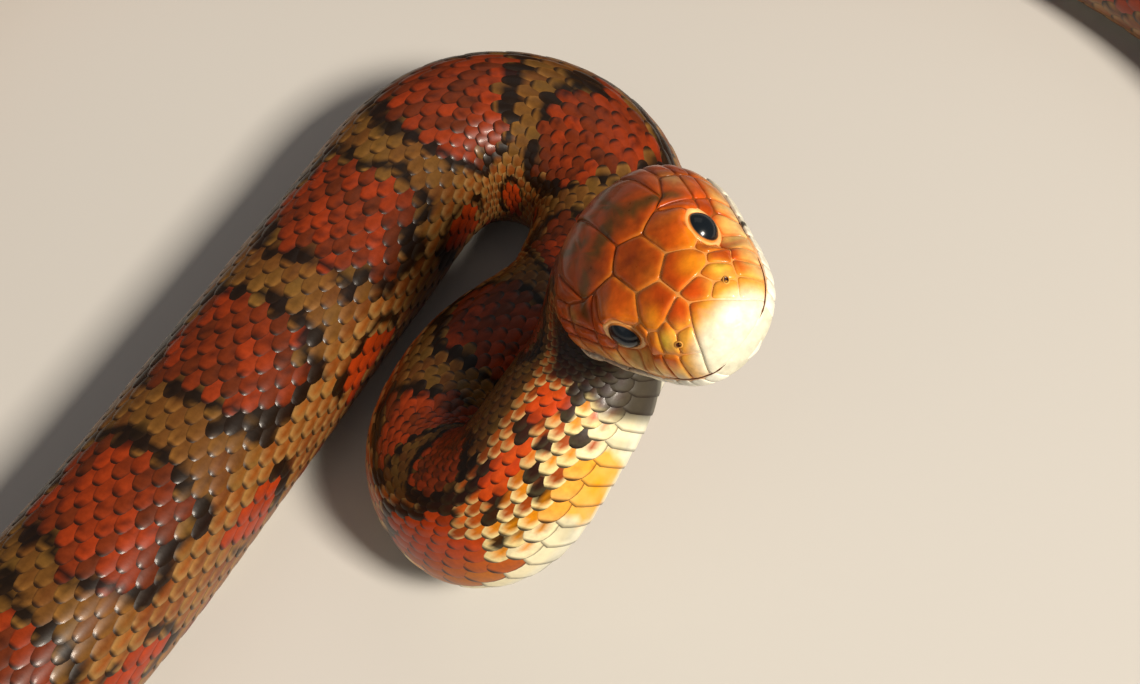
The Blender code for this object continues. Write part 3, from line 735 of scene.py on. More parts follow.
# Pigment over the head's plates, from the snout back: x, y, z, size in millimetres, tone, strength.
HEAD_GLOWS = (
    Glow(7.6, 1.5, None, 1.5, "#E2520C", 0.85),
    Glow(8.9, 3.1, None, 1.1, "#F7A63A", 0.75),
    Glow(4.4, 1.3, None, 2.1, "#C04408", 0.85),
    Glow(5.1, 3.9, None, 1.4, "#FF9A18", 0.90),
    Glow(3.2, 4.4, None, 1.0, "#F08014", 0.60),
    Glow(-0.8, 0.0, None, 3.0, "#9C460A", 0.90),
    Glow(2.0, 0.0, None, 1.1, "#D0701A", 0.60),
    Glow(-1.9, 0.3, None, 1.1, "#74260A", 0.75),
    Glow(1.3, 6.0, None, 1.5, "#F78C14", 0.90),
    Glow(-0.3, 4.4, None, 1.5, "#C4500E", 0.80),
    Glow(-2.4, 5.4, None, 1.3, "#E0781C", 0.60),
    Glow(-8.0, 3.6, None, 4.6, "#963E0A", 0.80),
    Glow(-5.0, 3.8, None, 1.1, "#8A3A0A", 0.60),
    Glow(-12.5, 6.0, None, 3.4, "#8C3A0A", 0.70),
    Glow(-5.5, 8.8, 0.8, 2.2, "#C84E16", 0.80),
    Glow(-8.6, 9.5, 1.0, 1.3, "#B08A4E", 0.85),
    Glow(-10.8, 10.2, 0.6, 1.6, "#BE4A16", 0.80),
    Glow(-6.6, 9.2, 2.3, 0.7, "#1C100A", 0.90),
    Glow(-10.0, 10.0, 2.4, 0.9, "#1C100A", 0.85),
    Glow(-12.4, 9.6, 2.6, 0.8, "#1C100A", 0.80),
    Glow(3.4, 6.8, 0.8, 1.5, "#EA8A1C", 0.85),
    Glow(3.0, 7.9, -1.4, 1.2, "#A0400F", 0.60),
    Glow(7.65, 4.85, 1.15, 1.1, "#F7CC40", 0.95),
    Glow(8.6, 4.4, 0.5, 0.9, "#F2B45A", 0.70),
)


@dataclass
class Markings:
    """The pattern by rule: saddles, side blotches, borders and belly checks; with them painted shade
    behind the head, on the neck's back and on one lower lip, and a painted highlight on the snout.
    """

    tints: Tints
    length: float
    neck_fade: tuple[float, float] = (92.0, 140.0)
    saddle_edge: float = 0.92
    blotch_edge: float = 0.95
    first_saddle: float = 102.5
    last_gap: float = 8.0
    period_s: tuple[float, ...] = (100.0, 180.0, 420.0, 800.0, 1000.0, 1173.0)
    periods: tuple[float, ...] = (19.0, 25.0, 33.0, 31.0, 23.0, 11.0)

    def __post_init__(self) -> None:
        """Sets out the marks, one by one on the neck and by rule along the body."""
        self.saddles = [
            Blotch(30.5, -27, 7.5, 12.5, 0.02), Blotch(30.5, 27, 7.5, 12.5, -0.02),
            Blotch(40.0, 0, 7.0, 40), Blotch(66.3, 0, 6.4, 47), Blotch(83.8, 0, 5.3, 47),
        ]
        self.sides = [
            Blotch(51.9, -73, 2.2, 11.5), Blotch(54.4, -80, 0.7, 4.5),
            Blotch(58.4, -75, 1.9, 9.0), Blotch(61.2, -71, 2.3, 8.0), Blotch(72.8, -92, 5.3, 34, -0.03),
            Blotch(52.6, 75, 2.6, 12), Blotch(59.6, 73, 3.0, 10), Blotch(72.6, 92, 5.2, 31, 0.03),
        ]
        self.lower = [Blotch(60.0, -128, 3.8, 27, -0.02), Blotch(59.6, 127, 3.8, 25, 0.02)]
        self.inks = [
            Blotch(55.6, -70, 1.4, 6.5), Blotch(53.0, -87, 1.0, 4.0), Blotch(62.2, -60, 3.0, 6.5, 0.08),
            Blotch(62.7, -79, 1.0, 4.5), Blotch(56.6, -87, 0.9, 4.5), Blotch(60.9, -98, 1.1, 4.5),
            Blotch(55.0, -103, 0.9, 4.0), Blotch(57.2, -121, 0.8, 4.0), Blotch(63.9, -124, 0.8, 6.0),
            Blotch(65.2, -84, 1.1, 4.0), Blotch(66.8, -98, 0.9, 4.0), Blotch(67.4, -66, 1.2, 5.0),
            Blotch(61.0, -48, 2.0, 4.0), Blotch(59.2, -90, 0.8, 3.0), Blotch(50.6, -88, 1.4, 5.0),
            Blotch(56.0, 68, 1.4, 7.0), Blotch(55.2, 88, 1.2, 6.0), Blotch(63.3, 62, 2.6, 7.0, -0.08),
            Blotch(61.4, 97, 1.1, 5.0), Blotch(64.0, 122, 0.8, 6.0), Blotch(55.4, 110, 0.9, 5.0),
            Blotch(66.0, 84, 1.1, 4.0), Blotch(59.4, 52, 1.6, 4.0),
        ]
        place = self.first_saddle
        while place < self.length - self.last_gap:
            period = float(np.interp(place, self.period_s, self.periods))
            turn = math.sin(place * 1.7)
            half = 0.34 * period * (1 + 0.08 * turn)
            self.saddles.append(Blotch(place, 3 * math.sin(place), half, 52 + 4 * turn))
            middle = place + period / 2
            for side in (-1, 1):
                lag = side * 1.2 * math.sin(place * 0.9)
                self.sides.append(Blotch(middle + lag, side * 84, 0.22 * period, 14 + 2 * turn))
                self.lower.append(Blotch(place + lag, side * 119, 0.17 * period, 12))
            place += period

    def neck(self, s: Array) -> Array:
        """How much of the neck's brighter colours shows at s."""
        return 1 - ease(s, *self.neck_fade)

    @staticmethod
    def wave(s: Array, angle: Array) -> Array:
        """The slow wobble of all marks' edges."""
        return wobble(s / 3.0, angle / 17.0, 0.4)

    @staticmethod
    def nearest(marks: list[Blotch], s: Array, angle: Array, wave: Array) -> Array:
        """The smallest reach among the marks at each point.

        Args:
            marks: the marks to look through.
            s, angle: where each point lies.
            wave: a slow wobble from about -1 to 1.

        Returns:
            The reach in the nearest mark, or 9 far from all.
        """
        best = np.full(s.shape, 9.0)
        for mark in marks:
            close = np.abs(s - mark.s) < mark.along * 2.2 + 6
            if close.any():
                found = mark.reach(s[close], angle[close], wave[close])
                best[close] = np.minimum(best[close], found)
        return best

    def ground(
        self, own_s: Array, own_angle: Array, edge: Array, rear: Array, luck: Array
    ) -> Array:
        """Colours between the marks: brown back, darkened towards the head by a painted shade, paler
        flanks and cream rows by the belly on the neck.

        Args:
            own_s, own_angle: where the middle of each scale lies.
            edge: 0 on the scale's middle line and 1 at its sides.
            rear: 0 at its root and 1 at its free edge.
            luck: a number from -1 to 1 for each scale or plate.

        Returns:
            Linear colours, one row a point.
        """
        t = self.tints
        neck = self.neck(own_s)
        flank = ease(np.abs(own_angle), 46, 58)
        low = ease(np.abs(own_angle), 78, 94) * neck
        lowest = ease(np.abs(own_angle), 104, 124) * neck
        out = np.hypot(edge, (rear - 0.50) / 0.55)
        second = np.modf(np.abs(luck) * 57.31)[0]
        back = blend(t.olive, t.saddle, 0.30 + 0.30 * luck)
        back = blend(back, t.tan * 0.75, (0.25 + 0.3 * (second > 0.6)) * ease(out, 0.5, 1.0))
        # Painted shade: the back darkens towards the head.
        back = back * (1 - 0.42 * (1 - ease(own_s, 70, 100)))[:, None]
        centre = blend(t.orange, t.saddle, 0.35 + 0.30 * luck)
        centre = blend(centre, t.amber, 0.55 * low * (second > 0.45))
        dark = ease(0.55 - out + 0.2 * wobble(edge * 2, rear * 3, 3.0), 0.0, 0.2)
        centre = blend(centre, t.border, dark * np.where(second > 0.80, 0.8, 0.0) * (1 - lowest))
        margin = blend(t.tan, t.cream, np.clip(0.30 + 0.15 * luck + 0.7 * low, 0, 1))
        margin = blend(margin, t.ivory, lowest)
        size = 0.66 + 0.16 * luck - 0.10 * low - 0.62 * lowest
        side = blend(centre, margin, ease(out, size - 0.22, size + 0.22))
        return blend(back, side, flank * (0.30 + 0.70 * neck))

    def scale_colours(
        self, s: Array, angle: Array, own_s: Array, own_angle: Array,
        edge: Array, rear: Array, luck: Array,
    ) -> Array:
        """Colours of points on scales.

        Args:
            s, angle: where each point lies.
            own_s, own_angle: where the middle of its scale lies.
            edge: 0 on the scale's middle line and 1 at its sides.
            rear: 0 at its root and 1 at its free edge.
            luck: a number from -1 to 1 for its scale.

        Returns:
            Linear colours, one row a point.
        """
        t = self.tints
        wave, own_wave = self.wave(s, angle), self.wave(own_s, own_angle)
        lists = (self.saddles, self.sides, self.lower, self.inks)
        saddle, side, lower, ink = (self.nearest(m, own_s, own_angle, own_wave) for m in lists)
        fine_saddle, fine_side, fine_lower, fine_ink = (self.nearest(m, s, angle, wave) for m in lists)
        neck = self.neck(own_s)
        throat = 1 - ease(own_s, 66, 70)
        colour = self.ground(own_s, own_angle, edge, rear, luck)
        tone = np.clip(0.20 + 0.22 * luck + 0.10 * own_wave, 0, 1)
        red = blend(t.saddle, t.blotch, tone) * np.ones((len(s), 1))
        fleck = ease(wobble(s / 0.9 + 3 * luck, angle / 5.0, 4.4), 0.35, 0.75)
        red = blend(red, t.border, 0.55 * fleck * ease(saddle, 1.4, 0.5))
        bright = blend(t.blotch, t.orange, 0.16 + 0.16 * luck)
        late = ease(own_s, 66, 72) * ease(np.abs(own_angle), 84, 118)
        bright = blend(bright, t.amber * 0.8, 0.50 * late) * (1 - 0.25 * ease(own_s, 66, 70))[:, None]
        side_red = blend(blend(red, t.blotch, 0.4), bright, neck)
        glow = blend(t.amber, t.cream, 0.22 * ease(rear, 0.6, 0.95) + 0.10 * luck + 0.1)
        glow = blend(glow, t.orange * 1.3, 0.38 * ease(-np.abs(own_angle), -122, -100))
        low = blend(red, glow, neck)
        on_side, on_lower = side < self.blotch_edge, lower < self.blotch_edge
        colour = np.where((saddle < self.saddle_edge)[:, None], red, colour)
        colour = np.where(on_side[:, None], side_red, colour)
        colour = np.where(on_lower[:, None], low, colour)
        # Dark borders lie just outside the marks; half the edge follows whole scales, half cuts them.
        own_ring = 0.9 - np.abs(side - 1.18) / 0.26 - 1.2 * throat
        own_ring = np.maximum(1 - np.abs(saddle - 1.08) / 0.20, own_ring)
        fine_ring = 0.95 - np.abs(fine_side - 1.16) / 0.26 - 1.2 * throat
        fine_ring = np.maximum(1 - np.abs(fine_saddle - 1.05) / 0.2, fine_ring)
        fine_ring = np.maximum(fine_ring, 0.75 - np.abs(fine_lower - 1.22) / 0.25 - 0.9 * neck)
        ring = 0.5 * own_ring + 0.5 * fine_ring + 0.18 * luck + 0.22 * wobble(s / 1.6, angle / 9.0, 2.2)
        dark = ease(ring, 0.22, 0.5)
        blot = 1.12 - 0.5 * ink - 0.5 * fine_ink + 0.08 * wobble(s / 0.9, angle / 6.0, 1.2)
        blot = ease(blot, 0.0, 0.16)
        marked = on_side | on_lower
        dark = np.where(marked, dark * 0.3, dark)
        dark = np.maximum(dark, np.where(marked, 0.45, 1.0) * blot)
        colour = blend(colour, t.border, 0.95 * dark)
        # Behind the jaws the scales go dark: mostly a painted shadow of the head.
        return blend(colour, t.shade, self.nape(s, angle))

    @staticmethod
    def nape(s: Array, angle: Array) -> Array:
        """Mostly a painted shadow of the head over the skin behind the jaws, with some dark pigment: it
        fades on the back, at the throat and down the neck.

        Args:
            s, angle: where each point lies.

        Returns:
            A share from 0 to 1.
        """
        side = np.abs(angle)
        end = 48.6 + 3.0 * ease(side, 82, 112)
        dark = (1 - ease(s, end, end + 2.0)) * ease(side, 50, 68) * (1 - ease(side, 152, 170))
        return 0.95 * dark * ease(s, 28, 38)

    def belly_colours(self, s: Array, angle: Array, number: Array) -> Array:
        """Ivory scutes with dark checks, from each point's place and its scute's number.

        Args:
            s, angle: where each point lies.
            number: which scute each point belongs to.

        Returns:
            Linear colours, one row a point.
        """
        t = self.tints
        side = np.sign(angle)
        group = np.floor(number / 2 + np.where(side > 0, 0.5, 0.0))
        draw = np.sin(group * 12.9898 + side * 4.1) * 43758.5453
        draw = draw - np.floor(draw)
        inner = np.abs(angle)
        edge = 150 + 14 * np.sin(group * 2.3)
        check = ease(inner, edge - 3, edge + 1) * (1 - ease(inner, edge + 15, edge + 19))
        check = check * (draw > 0.42) * ease(s, 66, 74)
        colour = blend(t.ivory, t.cream, ease(146 - inner, 0, 12) * 0.4) * np.ones((len(s), 1))
        low = self.nearest(self.lower, s, angle, self.wave(s, angle))
        neck = self.neck(s)
        reach = ease(150 + 12 * neck - inner, 0, 14) * ease(1.1 - low, 0, 0.2)
        gold = blend(t.amber, t.cream, 0.18 + 0.14 * wobble(s / 1.4, inner / 9.0, 3.1))
        colour = blend(colour, blend(t.blotch, gold, neck), reach)
        side_dark = ease(1 - np.abs(low - 1.3) / 0.3, 0.2, 0.6) * ease(150 - inner, 0, 6)
        side_dark = side_dark * (1 - 0.7 * neck)
        colour = blend(colour, t.border, np.clip(check * 0.9 + 0.85 * side_dark, 0, 1))
        # Behind the jaws the scutes go dark: mostly a painted shadow of the head.
        return blend(colour, t.shade, self.nape(s, angle))

    def head_colours(self, points: Array, edge: Array, luck: Array) -> Array:
        """Colours of points on the head's plates, in the head's frame.

        Args:
            points: where each point lies.
            edge: 0 in the middle of its plate and 1 at its rim.
            luck: a number from -1 to 1 for its plate.

        Returns:
            Linear colours, one row a point.
        """
        t = self.tints
        x, y, z = points.T
        wave = wobble(x / 2.3, y / 2.3, 1.1)
        small = wobble(x / 0.8, (y + 0.6 * z) / 0.8, 2.7)
        side = np.abs(y)
        colour = blend(t.head, t.head_red, np.clip(0.28 + 0.25 * wave + 0.12 * luck, 0, 1))
        colour = blend(colour, t.head_red, 0.55 * ease(-x, 3.0, 9.0))
        for glow in HEAD_GLOWS:
            colour = blend(colour, linear(glow.tone)[None], glow.share(points, wave))
        bright = ease(edge, 0.55, 0.95) * ease(x, -5.5, -3.0) * (side < 6.5)
        colour = blend(colour, t.head_gold, 0.22 * bright)
        band = 1 - np.abs(x + 7.7 - 0.028 * side**2 + 0.30 * wave) / 1.55
        band = ease(band, 0.0, 0.8) * (1 - ease(side, 8.2, 9.6))
        streak = 1 - np.abs(side - 0.66 * (-x - 6.0) - 0.5 * wave) / 1.3
        streak = ease(streak, 0.1, 0.8) * ease(-x, 8.4, 9.8)
        middle = ease(1 - side / 1.6 + 0.3 * wave, 0.2, 0.8) * ease(-x, 10.0, 11.5)
        mottle = 0.45 * ease(small + 0.5 * wave, 0.25, 0.9) * ease(-x, 6.0, 9.0)
        olive = np.clip(0.85 * band + 0.8 * streak + 0.75 * middle + mottle, 0, 0.88)
        colour = blend(colour, t.head_olive, olive * ease(-x, 4.2, 5.6))
        fleck = 0.35 * ease(wobble(x / 1.3, y / 1.3, 6.3), 0.35, 0.8) * ease(6.5 - x, 0, 3)
        colour = blend(colour, t.head_fleck, fleck)
        lip = ease(self.lip_depth(x, z), -0.8, 0.9) * ease(side, 2.5, 4.5)
        pale = np.clip(0.35 + ease(self.lip_depth(x, z), 0.4, 2.4) * 0.6, 0, 1)
        pale = blend(t.head_gold, t.lip, pale)
        seam = ease(edge, 0.72, 1.0) * 0.55
        pale = blend(pale, t.orange, np.clip(seam + 0.34 * small + 0.2, 0, 1))
        pale = blend(pale, t.head_red, 0.6 * ease(-x, 2.0, 9.0))
        colour = blend(colour, pale, 0.92 * lip)
        # Gold, then ivory towards the snout's tip: partly its own pale snout, partly a painted
        # highlight.
        snout = ease(x + 0.08 * side, 8.7, 10.6)
        colour = blend(colour, t.head_gold, np.clip(0.85 * snout * (1 - 0.3 * small), 0, 1))
        colour = blend(colour, t.ivory, 0.94 * ease(x + 0.08 * side, 10.0, 11.9))
        colour = colour * (1 + 0.10 * small[:, None] * (1 - ease(x, 9.0, 10.5))[:, None])
        return blend(colour, colour * 0.7, ease(edge, 0.70, 1.0) * 0.35 * ease(-x, -3.0, 4.0))

    @staticmethod
    def lip_depth(x: Array, z: Array) -> Array:
        """How far below the upper lip plates' tops a point is."""
        return -1.6 - z + 0.05 * x

    def jaw_colours(self, points: Array, luck: Array) -> Array:
        """White lower lips, browner behind, the right one much more so as a painted shade, with a few
        dark spots, and an ivory chin.

        Args:
            points: places in the head's frame, one row each.
            luck: a number from -1 to 1 for each scale or plate.

        Returns:
            Linear colours, one row a point.
        """
        t = self.tints
        x, y, z = points.T
        white = blend(t.ivory, np.ones((1, 3)) * 0.86, 0.25) * np.ones((len(x), 1))
        small = wobble(x / 0.9, z / 0.8 + np.sign(y), 5.2)
        # Some tan at the lips' rear on both sides; the right side's far stronger tan is a painted shade.
        rear_tan_and_shade = ease(-x, -3.0, 3.0) * ease(np.abs(y), 6.5, 8.5) * np.where(y > 0, 0.25, 1.3)
        white = blend(white, t.tan * 0.8, np.clip(rear_tan_and_shade * (0.42 + 0.15 * small), 0, 1))
        spot = ease(small + 0.3 * luck, 0.75, 0.95) * ease(1.0 - x, 0, 1.0) * ease(x + 8.0, 0, 2.0)
        spot = spot * ease(np.abs(y), 6.0, 8.0)
        return blend(white, t.border, 0.9 * spot)


class Nodes:
    """A material's node tree and the one way that nodes are added to it."""

    # The colour inputs and the colour output of a mix node, by number, as their names repeat.
    MIX_ONE, MIX_TWO, MIXED = 6, 7, 2

    def __init__(self, name: str) -> None:
        """Starts a material with a Principled shader.

        Args:
            name: the material's name.
        """
        self.material = bpy.data.materials.new(name)
        self.material.use_nodes = True
        self.tree = self.material.node_tree
        self.shader = self.tree.nodes["Principled BSDF"]

    def add(self, kind: str, links: dict | None = None, **settings) -> bpy.types.Node:
        """Adds a node.

        Args:
            kind: the node's type, such as 'ShaderNodeBump'.
            links: output sockets or plain values for its inputs, by name or number.
            settings: values for its own properties.

        Returns:
            The new node.
        """
        node = self.tree.nodes.new(kind)
        for name, value in settings.items():
            setattr(node, name, value)
        for key, value in (links or {}).items():
            if isinstance(value, Socket):
                self.tree.links.new(value, node.inputs[key])
            else:
                node.inputs[key].default_value = value
        return node

    def noise(self, size: float, detail: float, roughness: float = 0.5) -> Socket:
        """Soft noise in the model's own space.

        Args:
            size: the width of its features, in metres.
            detail: how many finer layers it has.
            roughness: how strong they are.

        Returns:
            The noise, from 0 to 1.
        """
        where = self.add("ShaderNodeTexCoord").outputs["Object"]
        links = {"Vector": where, "Scale": 1 / size, "Detail": detail, "Roughness": roughness}
        return self.add("ShaderNodeTexNoise", links).outputs["Fac"]

    def mix(self, share: Socket | float, one: Socket | tuple, two: Socket | tuple, **settings) -> Socket:
        """Mixes two colours.

        Args:
            share: how much of the second one there is.
            one, two: sockets or plain colours.
            settings: values for the node's own properties.

        Returns:
            The mixed colour.
        """
        links = {"Factor": share, self.MIX_ONE: one, self.MIX_TWO: two}
        return self.add("ShaderNodeMix", links, data_type="RGBA", **settings).outputs[self.MIXED]

    def dress(self, values: dict) -> bpy.types.Material:
        """Sets or links the shader's inputs and returns the material.

        Args:
            values: sockets or plain values, by the input's name.

        Returns:
            The material.
        """
        for key, value in values.items():
            if isinstance(value, Socket):
                self.tree.links.new(value, self.shader.inputs[key])
            else:
                self.shader.inputs[key].default_value = value
        return self.material


@dataclass(frozen=True)
class Keratin:
    """Smooth, thin horn over pigment: scales, scutes and head plates."""

    name: str
    gloss: float = 0.38
    coat: float = 0.10
    sheen: float = 0.28
    mottle: float = 0.22
    mottle_mm: float = 1.1
    grain_mm: float = 0.35
    grain_depth: float = 0.12
    grain_height_mm: float = 0.06

    def material(self) -> bpy.types.Material:
        """The pattern's colour, painted shade and highlight included, with a little mottling, a fine
        grain and a wet-looking gloss.

        Returns:
            The material.
        """
        n = Nodes(self.name)
        pattern_and_painted_light = n.add("ShaderNodeAttribute", attribute_name="markings").outputs["Color"]
        cloud = n.noise(self.mottle_mm * MM, 3.0, 0.6)
        span = {"From Min": 0.25, "From Max": 0.75, "To Min": 1 - self.mottle, "To Max": 1 + self.mottle}
        shade = n.add("ShaderNodeMapRange", {"Value": cloud, **span}).outputs["Result"]
        grey = n.add("ShaderNodeCombineColor", {i: shade for i in range(3)}).outputs["Color"]
        grain = n.noise(self.grain_mm * MM, 2.0)
        depth = {"Strength": self.grain_depth, "Distance": self.grain_height_mm * MM}
        bump = n.add("ShaderNodeBump", {"Height": grain, **depth})
        span = {"To Min": self.gloss - 0.08, "To Max": self.gloss + 0.10}
        rough = n.add("ShaderNodeMapRange", {"Value": cloud, **span})
        return n.dress(
            {
                "Base Color": n.mix(1.0, pattern_and_painted_light, grey, blend_type="MULTIPLY"),
                "Roughness": rough.outputs["Result"],
                "Normal": bump.outputs["Normal"],
                "IOR": 1.45,
                "Specular IOR Level": self.sheen,
                "Coat Weight": self.coat,
                "Coat Roughness": 0.12,
            }
        )


@dataclass(frozen=True)
class Eyeball:
    """A clear, wet scale over a round black pupil with a thin orange iris."""

    name: str
    centre: tuple[float, float, float]
    axis: tuple[float, float, float]
    pupil: float = 1.93
    iris: float = 2.06
    pupil_tone: str = "#10161C"
    iris_tone: str = "#D98A3A"

    def material(self) -> bpy.types.Material:
        """Dark blue-black out to the pupil's edge and orange beyond it.

        Returns:
            The material.
        """
        n = Nodes(self.name)

        def maths(operation: str, output: str, **links) -> Socket:
            """One step of vector maths, with its inputs as v0, v1 and Scale."""
            inputs = {int(key[1]) if key[0] == "v" else key: value for key, value in links.items()}
            return n.add("ShaderNodeVectorMath", inputs, operation=operation).outputs[output]

        where = n.add("ShaderNodeTexCoord").outputs["Object"]
        offset = maths("SUBTRACT", "Vector", v0=where, v1=self.centre)
        along = maths("DOT_PRODUCT", "Value", v0=offset, v1=self.axis)
        ahead = maths("SCALE", "Vector", v0=self.axis, Scale=along)
        across = maths("SUBTRACT", "Vector", v0=offset, v1=ahead)
        radius = maths("LENGTH", "Value", v0=across)
        edge = {"From Min": self.pupil * MM, "From Max": self.iris * MM}
        share = n.add("ShaderNodeMapRange", {"Value": radius, **edge}).outputs["Result"]
        tones = [(*linear(code), 1.0) for code in (self.pupil_tone, self.iris_tone)]
        wet = {"Roughness": 0.22, "IOR": 1.33, "Coat Weight": 0.3, "Coat Roughness": 0.05}
        return n.dress({"Base Color": n.mix(share, *tones), **wet})


@dataclass(frozen=True)
class PaintedFloor:
    """Matt pale paint, so that nothing on the floor draws the eye."""

    name: str = "PaleMattPaint"
    tone: str = "#C6C4C0"
    cloud_size: float = 1 / 9
    unevenness: float = 0.04

    def material(self) -> bpy.types.Material:
        """A soft pale grey with a barely seen unevenness.

        Returns:
            The material.
        """
        n = Nodes(self.name)
        pale = linear(self.tone)
        tones = [(*pale, 1.0), (*(pale * (1 - self.unevenness)), 1.0)]
        return n.dress({"Base Color": n.mix(n.noise(self.cloud_size, 2.0), *tones), "Roughness": 0.85})


def stand(name: str, mesh: bpy.types.Mesh) -> bpy.types.Object:
    """Puts an object that shows the mesh at the origin.

    Args:
        name: the piece's name.
        mesh: what it shows.

    Returns:
        The new object.
    """
    made = bpy.data.objects.new(name, mesh)
    bpy.context.scene.collection.objects.link(made)
    return made


def make_object(
    name: str, points: Array, faces: list, material: bpy.types.Material
) -> bpy.types.Object:
    """A mesh object at the origin from joined arrays of points in millimetres and faces.

    Args:
        name: the piece's name.
        points: places in millimetres, one row each.
        faces: tuples of point numbers.
        material: the finish that it wears.

    Returns:
        The new object.
    """
    mesh = bpy.data.meshes.new(name)
    mesh.from_pydata((points * MM).tolist(), [], faces)
    mesh.materials.append(material)
    return stand(name, mesh)


def copies(faces: list, count: int, stride: int) -> list[tuple]:
    """The faces of one small shape repeated for joined copies of its points."""
    return [tuple(k * stride + i for i in face) for k in range(count) for face in faces]


def tint(made: bpy.types.Object, colours: Array) -> None:
    """Stores the markings' colours on the mesh's points.

    Args:
        made: the piece.
        colours: linear colours, one row a point.
    """
    layer = made.data.color_attributes.new("markings", "FLOAT_COLOR", "POINT")
    rows = np.concatenate([np.clip(colours, 0, 1), np.ones((len(colours), 1))], axis=1)
    layer.data.foreach_set("color", rows.astype(np.float32).ravel())


def unwrap(made: bpy.types.Object, places: Array) -> None:
    """Gives the mesh its bake map, from one place a point.

    Args:
        made: the piece.
        places: one place on the map for each point.
    """
    mesh = made.data
    layer = mesh.uv_layers.new(name="OFBake")
    index = np.empty(len(mesh.loops), np.int32)
    mesh.loops.foreach_get("vertex_index", index)
    layer.data.foreach_set("uv", places[index].astype(np.float32).ravel())


def smooth(made: bpy.types.Object, degrees: float) -> None:
    """Shades the mesh smooth but for edges sharper than the angle."""
    made.data.shade_smooth()
    made.data.set_sharp_from_angle(angle=math.radians(degrees))


def face_outward(made: bpy.types.Object) -> None:
    """Turns every face of closed pieces outward.

    Args:
        made: the piece.
    """
    mesh = bmesh.new()
    mesh.from_mesh(made.data)
    bmesh.ops.recalc_face_normals(mesh, faces=mesh.faces)
    mesh.to_mesh(made.data)
    mesh.free()


def sleeve(rings: int, sides: int, closed: bool) -> list[tuple]:
    """Quads of a tube whose points come ring by ring.

    Args:
        rings: how many rings it has.
        sides: how many points a ring has.
        closed: whether the last ring joins the first.

    Returns:
        The faces, as tuples of point numbers.
    """
    faces = []
    for i in range(rings if closed else rings - 1):
        here, there = i * sides, (i + 1) % rings * sides
        for k in range(sides):
            after = (k + 1) % sides
            faces.append((here + k, here + after, there + after, there + k))
    return faces


def sleeve_map(rings: int, sides: int) -> Array:
    """Places on the bake map of a sleeve's points.

    Args:
        rings: how many rings it has.
        sides: how many points a ring has.

    Returns:
        One place for each point.
    """
    along = np.linspace(0.02, 0.98, rings)
    across = np.linspace(0.02, 0.98, sides)
    return np.stack([np.repeat(along, sides), np.tile(across, rings)], axis=1)


@dataclass(frozen=True)
class ScaleCut:
    """The shape of one shingle: stations from root to free edge and across."""

    along: tuple[float, ...] = (0.0, 0.3, 0.55, 0.74, 0.88, 0.96, 1.0)
    across: tuple[float, ...] = (-1.0, -0.62, 0.0, 0.62, 1.0)
    root_width: float = 0.62
    widest: float = 0.46
    past_end: float = 1.005
    root_power: float = 0.8
    tip_powers: tuple[float, float] = (2.3, 1.9)

    def grid(self) -> tuple:
        """Shares along and across of the top's points."""
        u, v = np.meshgrid(self.along, self.across, indexing="ij")
        return u.ravel(), v.ravel()

    def width(self, u: Array) -> Array:
        """The shingle's half width as a share of its widest.

        Args:
            u: shares of the length from the root.

        Returns:
            The half widths.
        """
        front = self.root_width + (1 - self.root_width) * (u / self.widest) ** self.root_power
        past = np.clip((u - self.widest) / (self.past_end - self.widest), 0, 1)
        rear = (1 - past ** self.tip_powers[0]) ** (1 / self.tip_powers[1])
        return np.where(u < self.widest, front, rear)

    def faces(self) -> tuple:
        """Faces of one closed shingle, on the top's points and copies of its rim.

        Returns:
            Its top, wall and under faces, and the numbers of the points on the top's rim.
        """
        n, m = len(self.along), len(self.across)
        top = [
            (i * m + j, i * m + j + 1, (i + 1) * m + j + 1, (i + 1) * m + j)
            for i in range(n - 1) for j in range(m - 1)
        ]
        rim = list(range(m)) + [i * m + m - 1 for i in range(1, n)]
        rim += [(n - 1) * m + j for j in range(m - 2, -1, -1)] + [i * m for i in range(n - 2, 0, -1)]
        low = {point: n * m + k for k, point in enumerate(rim)}
        walls = [(two, one, low[one], low[two]) for one, two in zip(rim, rim[1:] + rim[:1])]
        under = tuple(low[point] for point in rim)
        return top + walls + [under[::-1]], rim


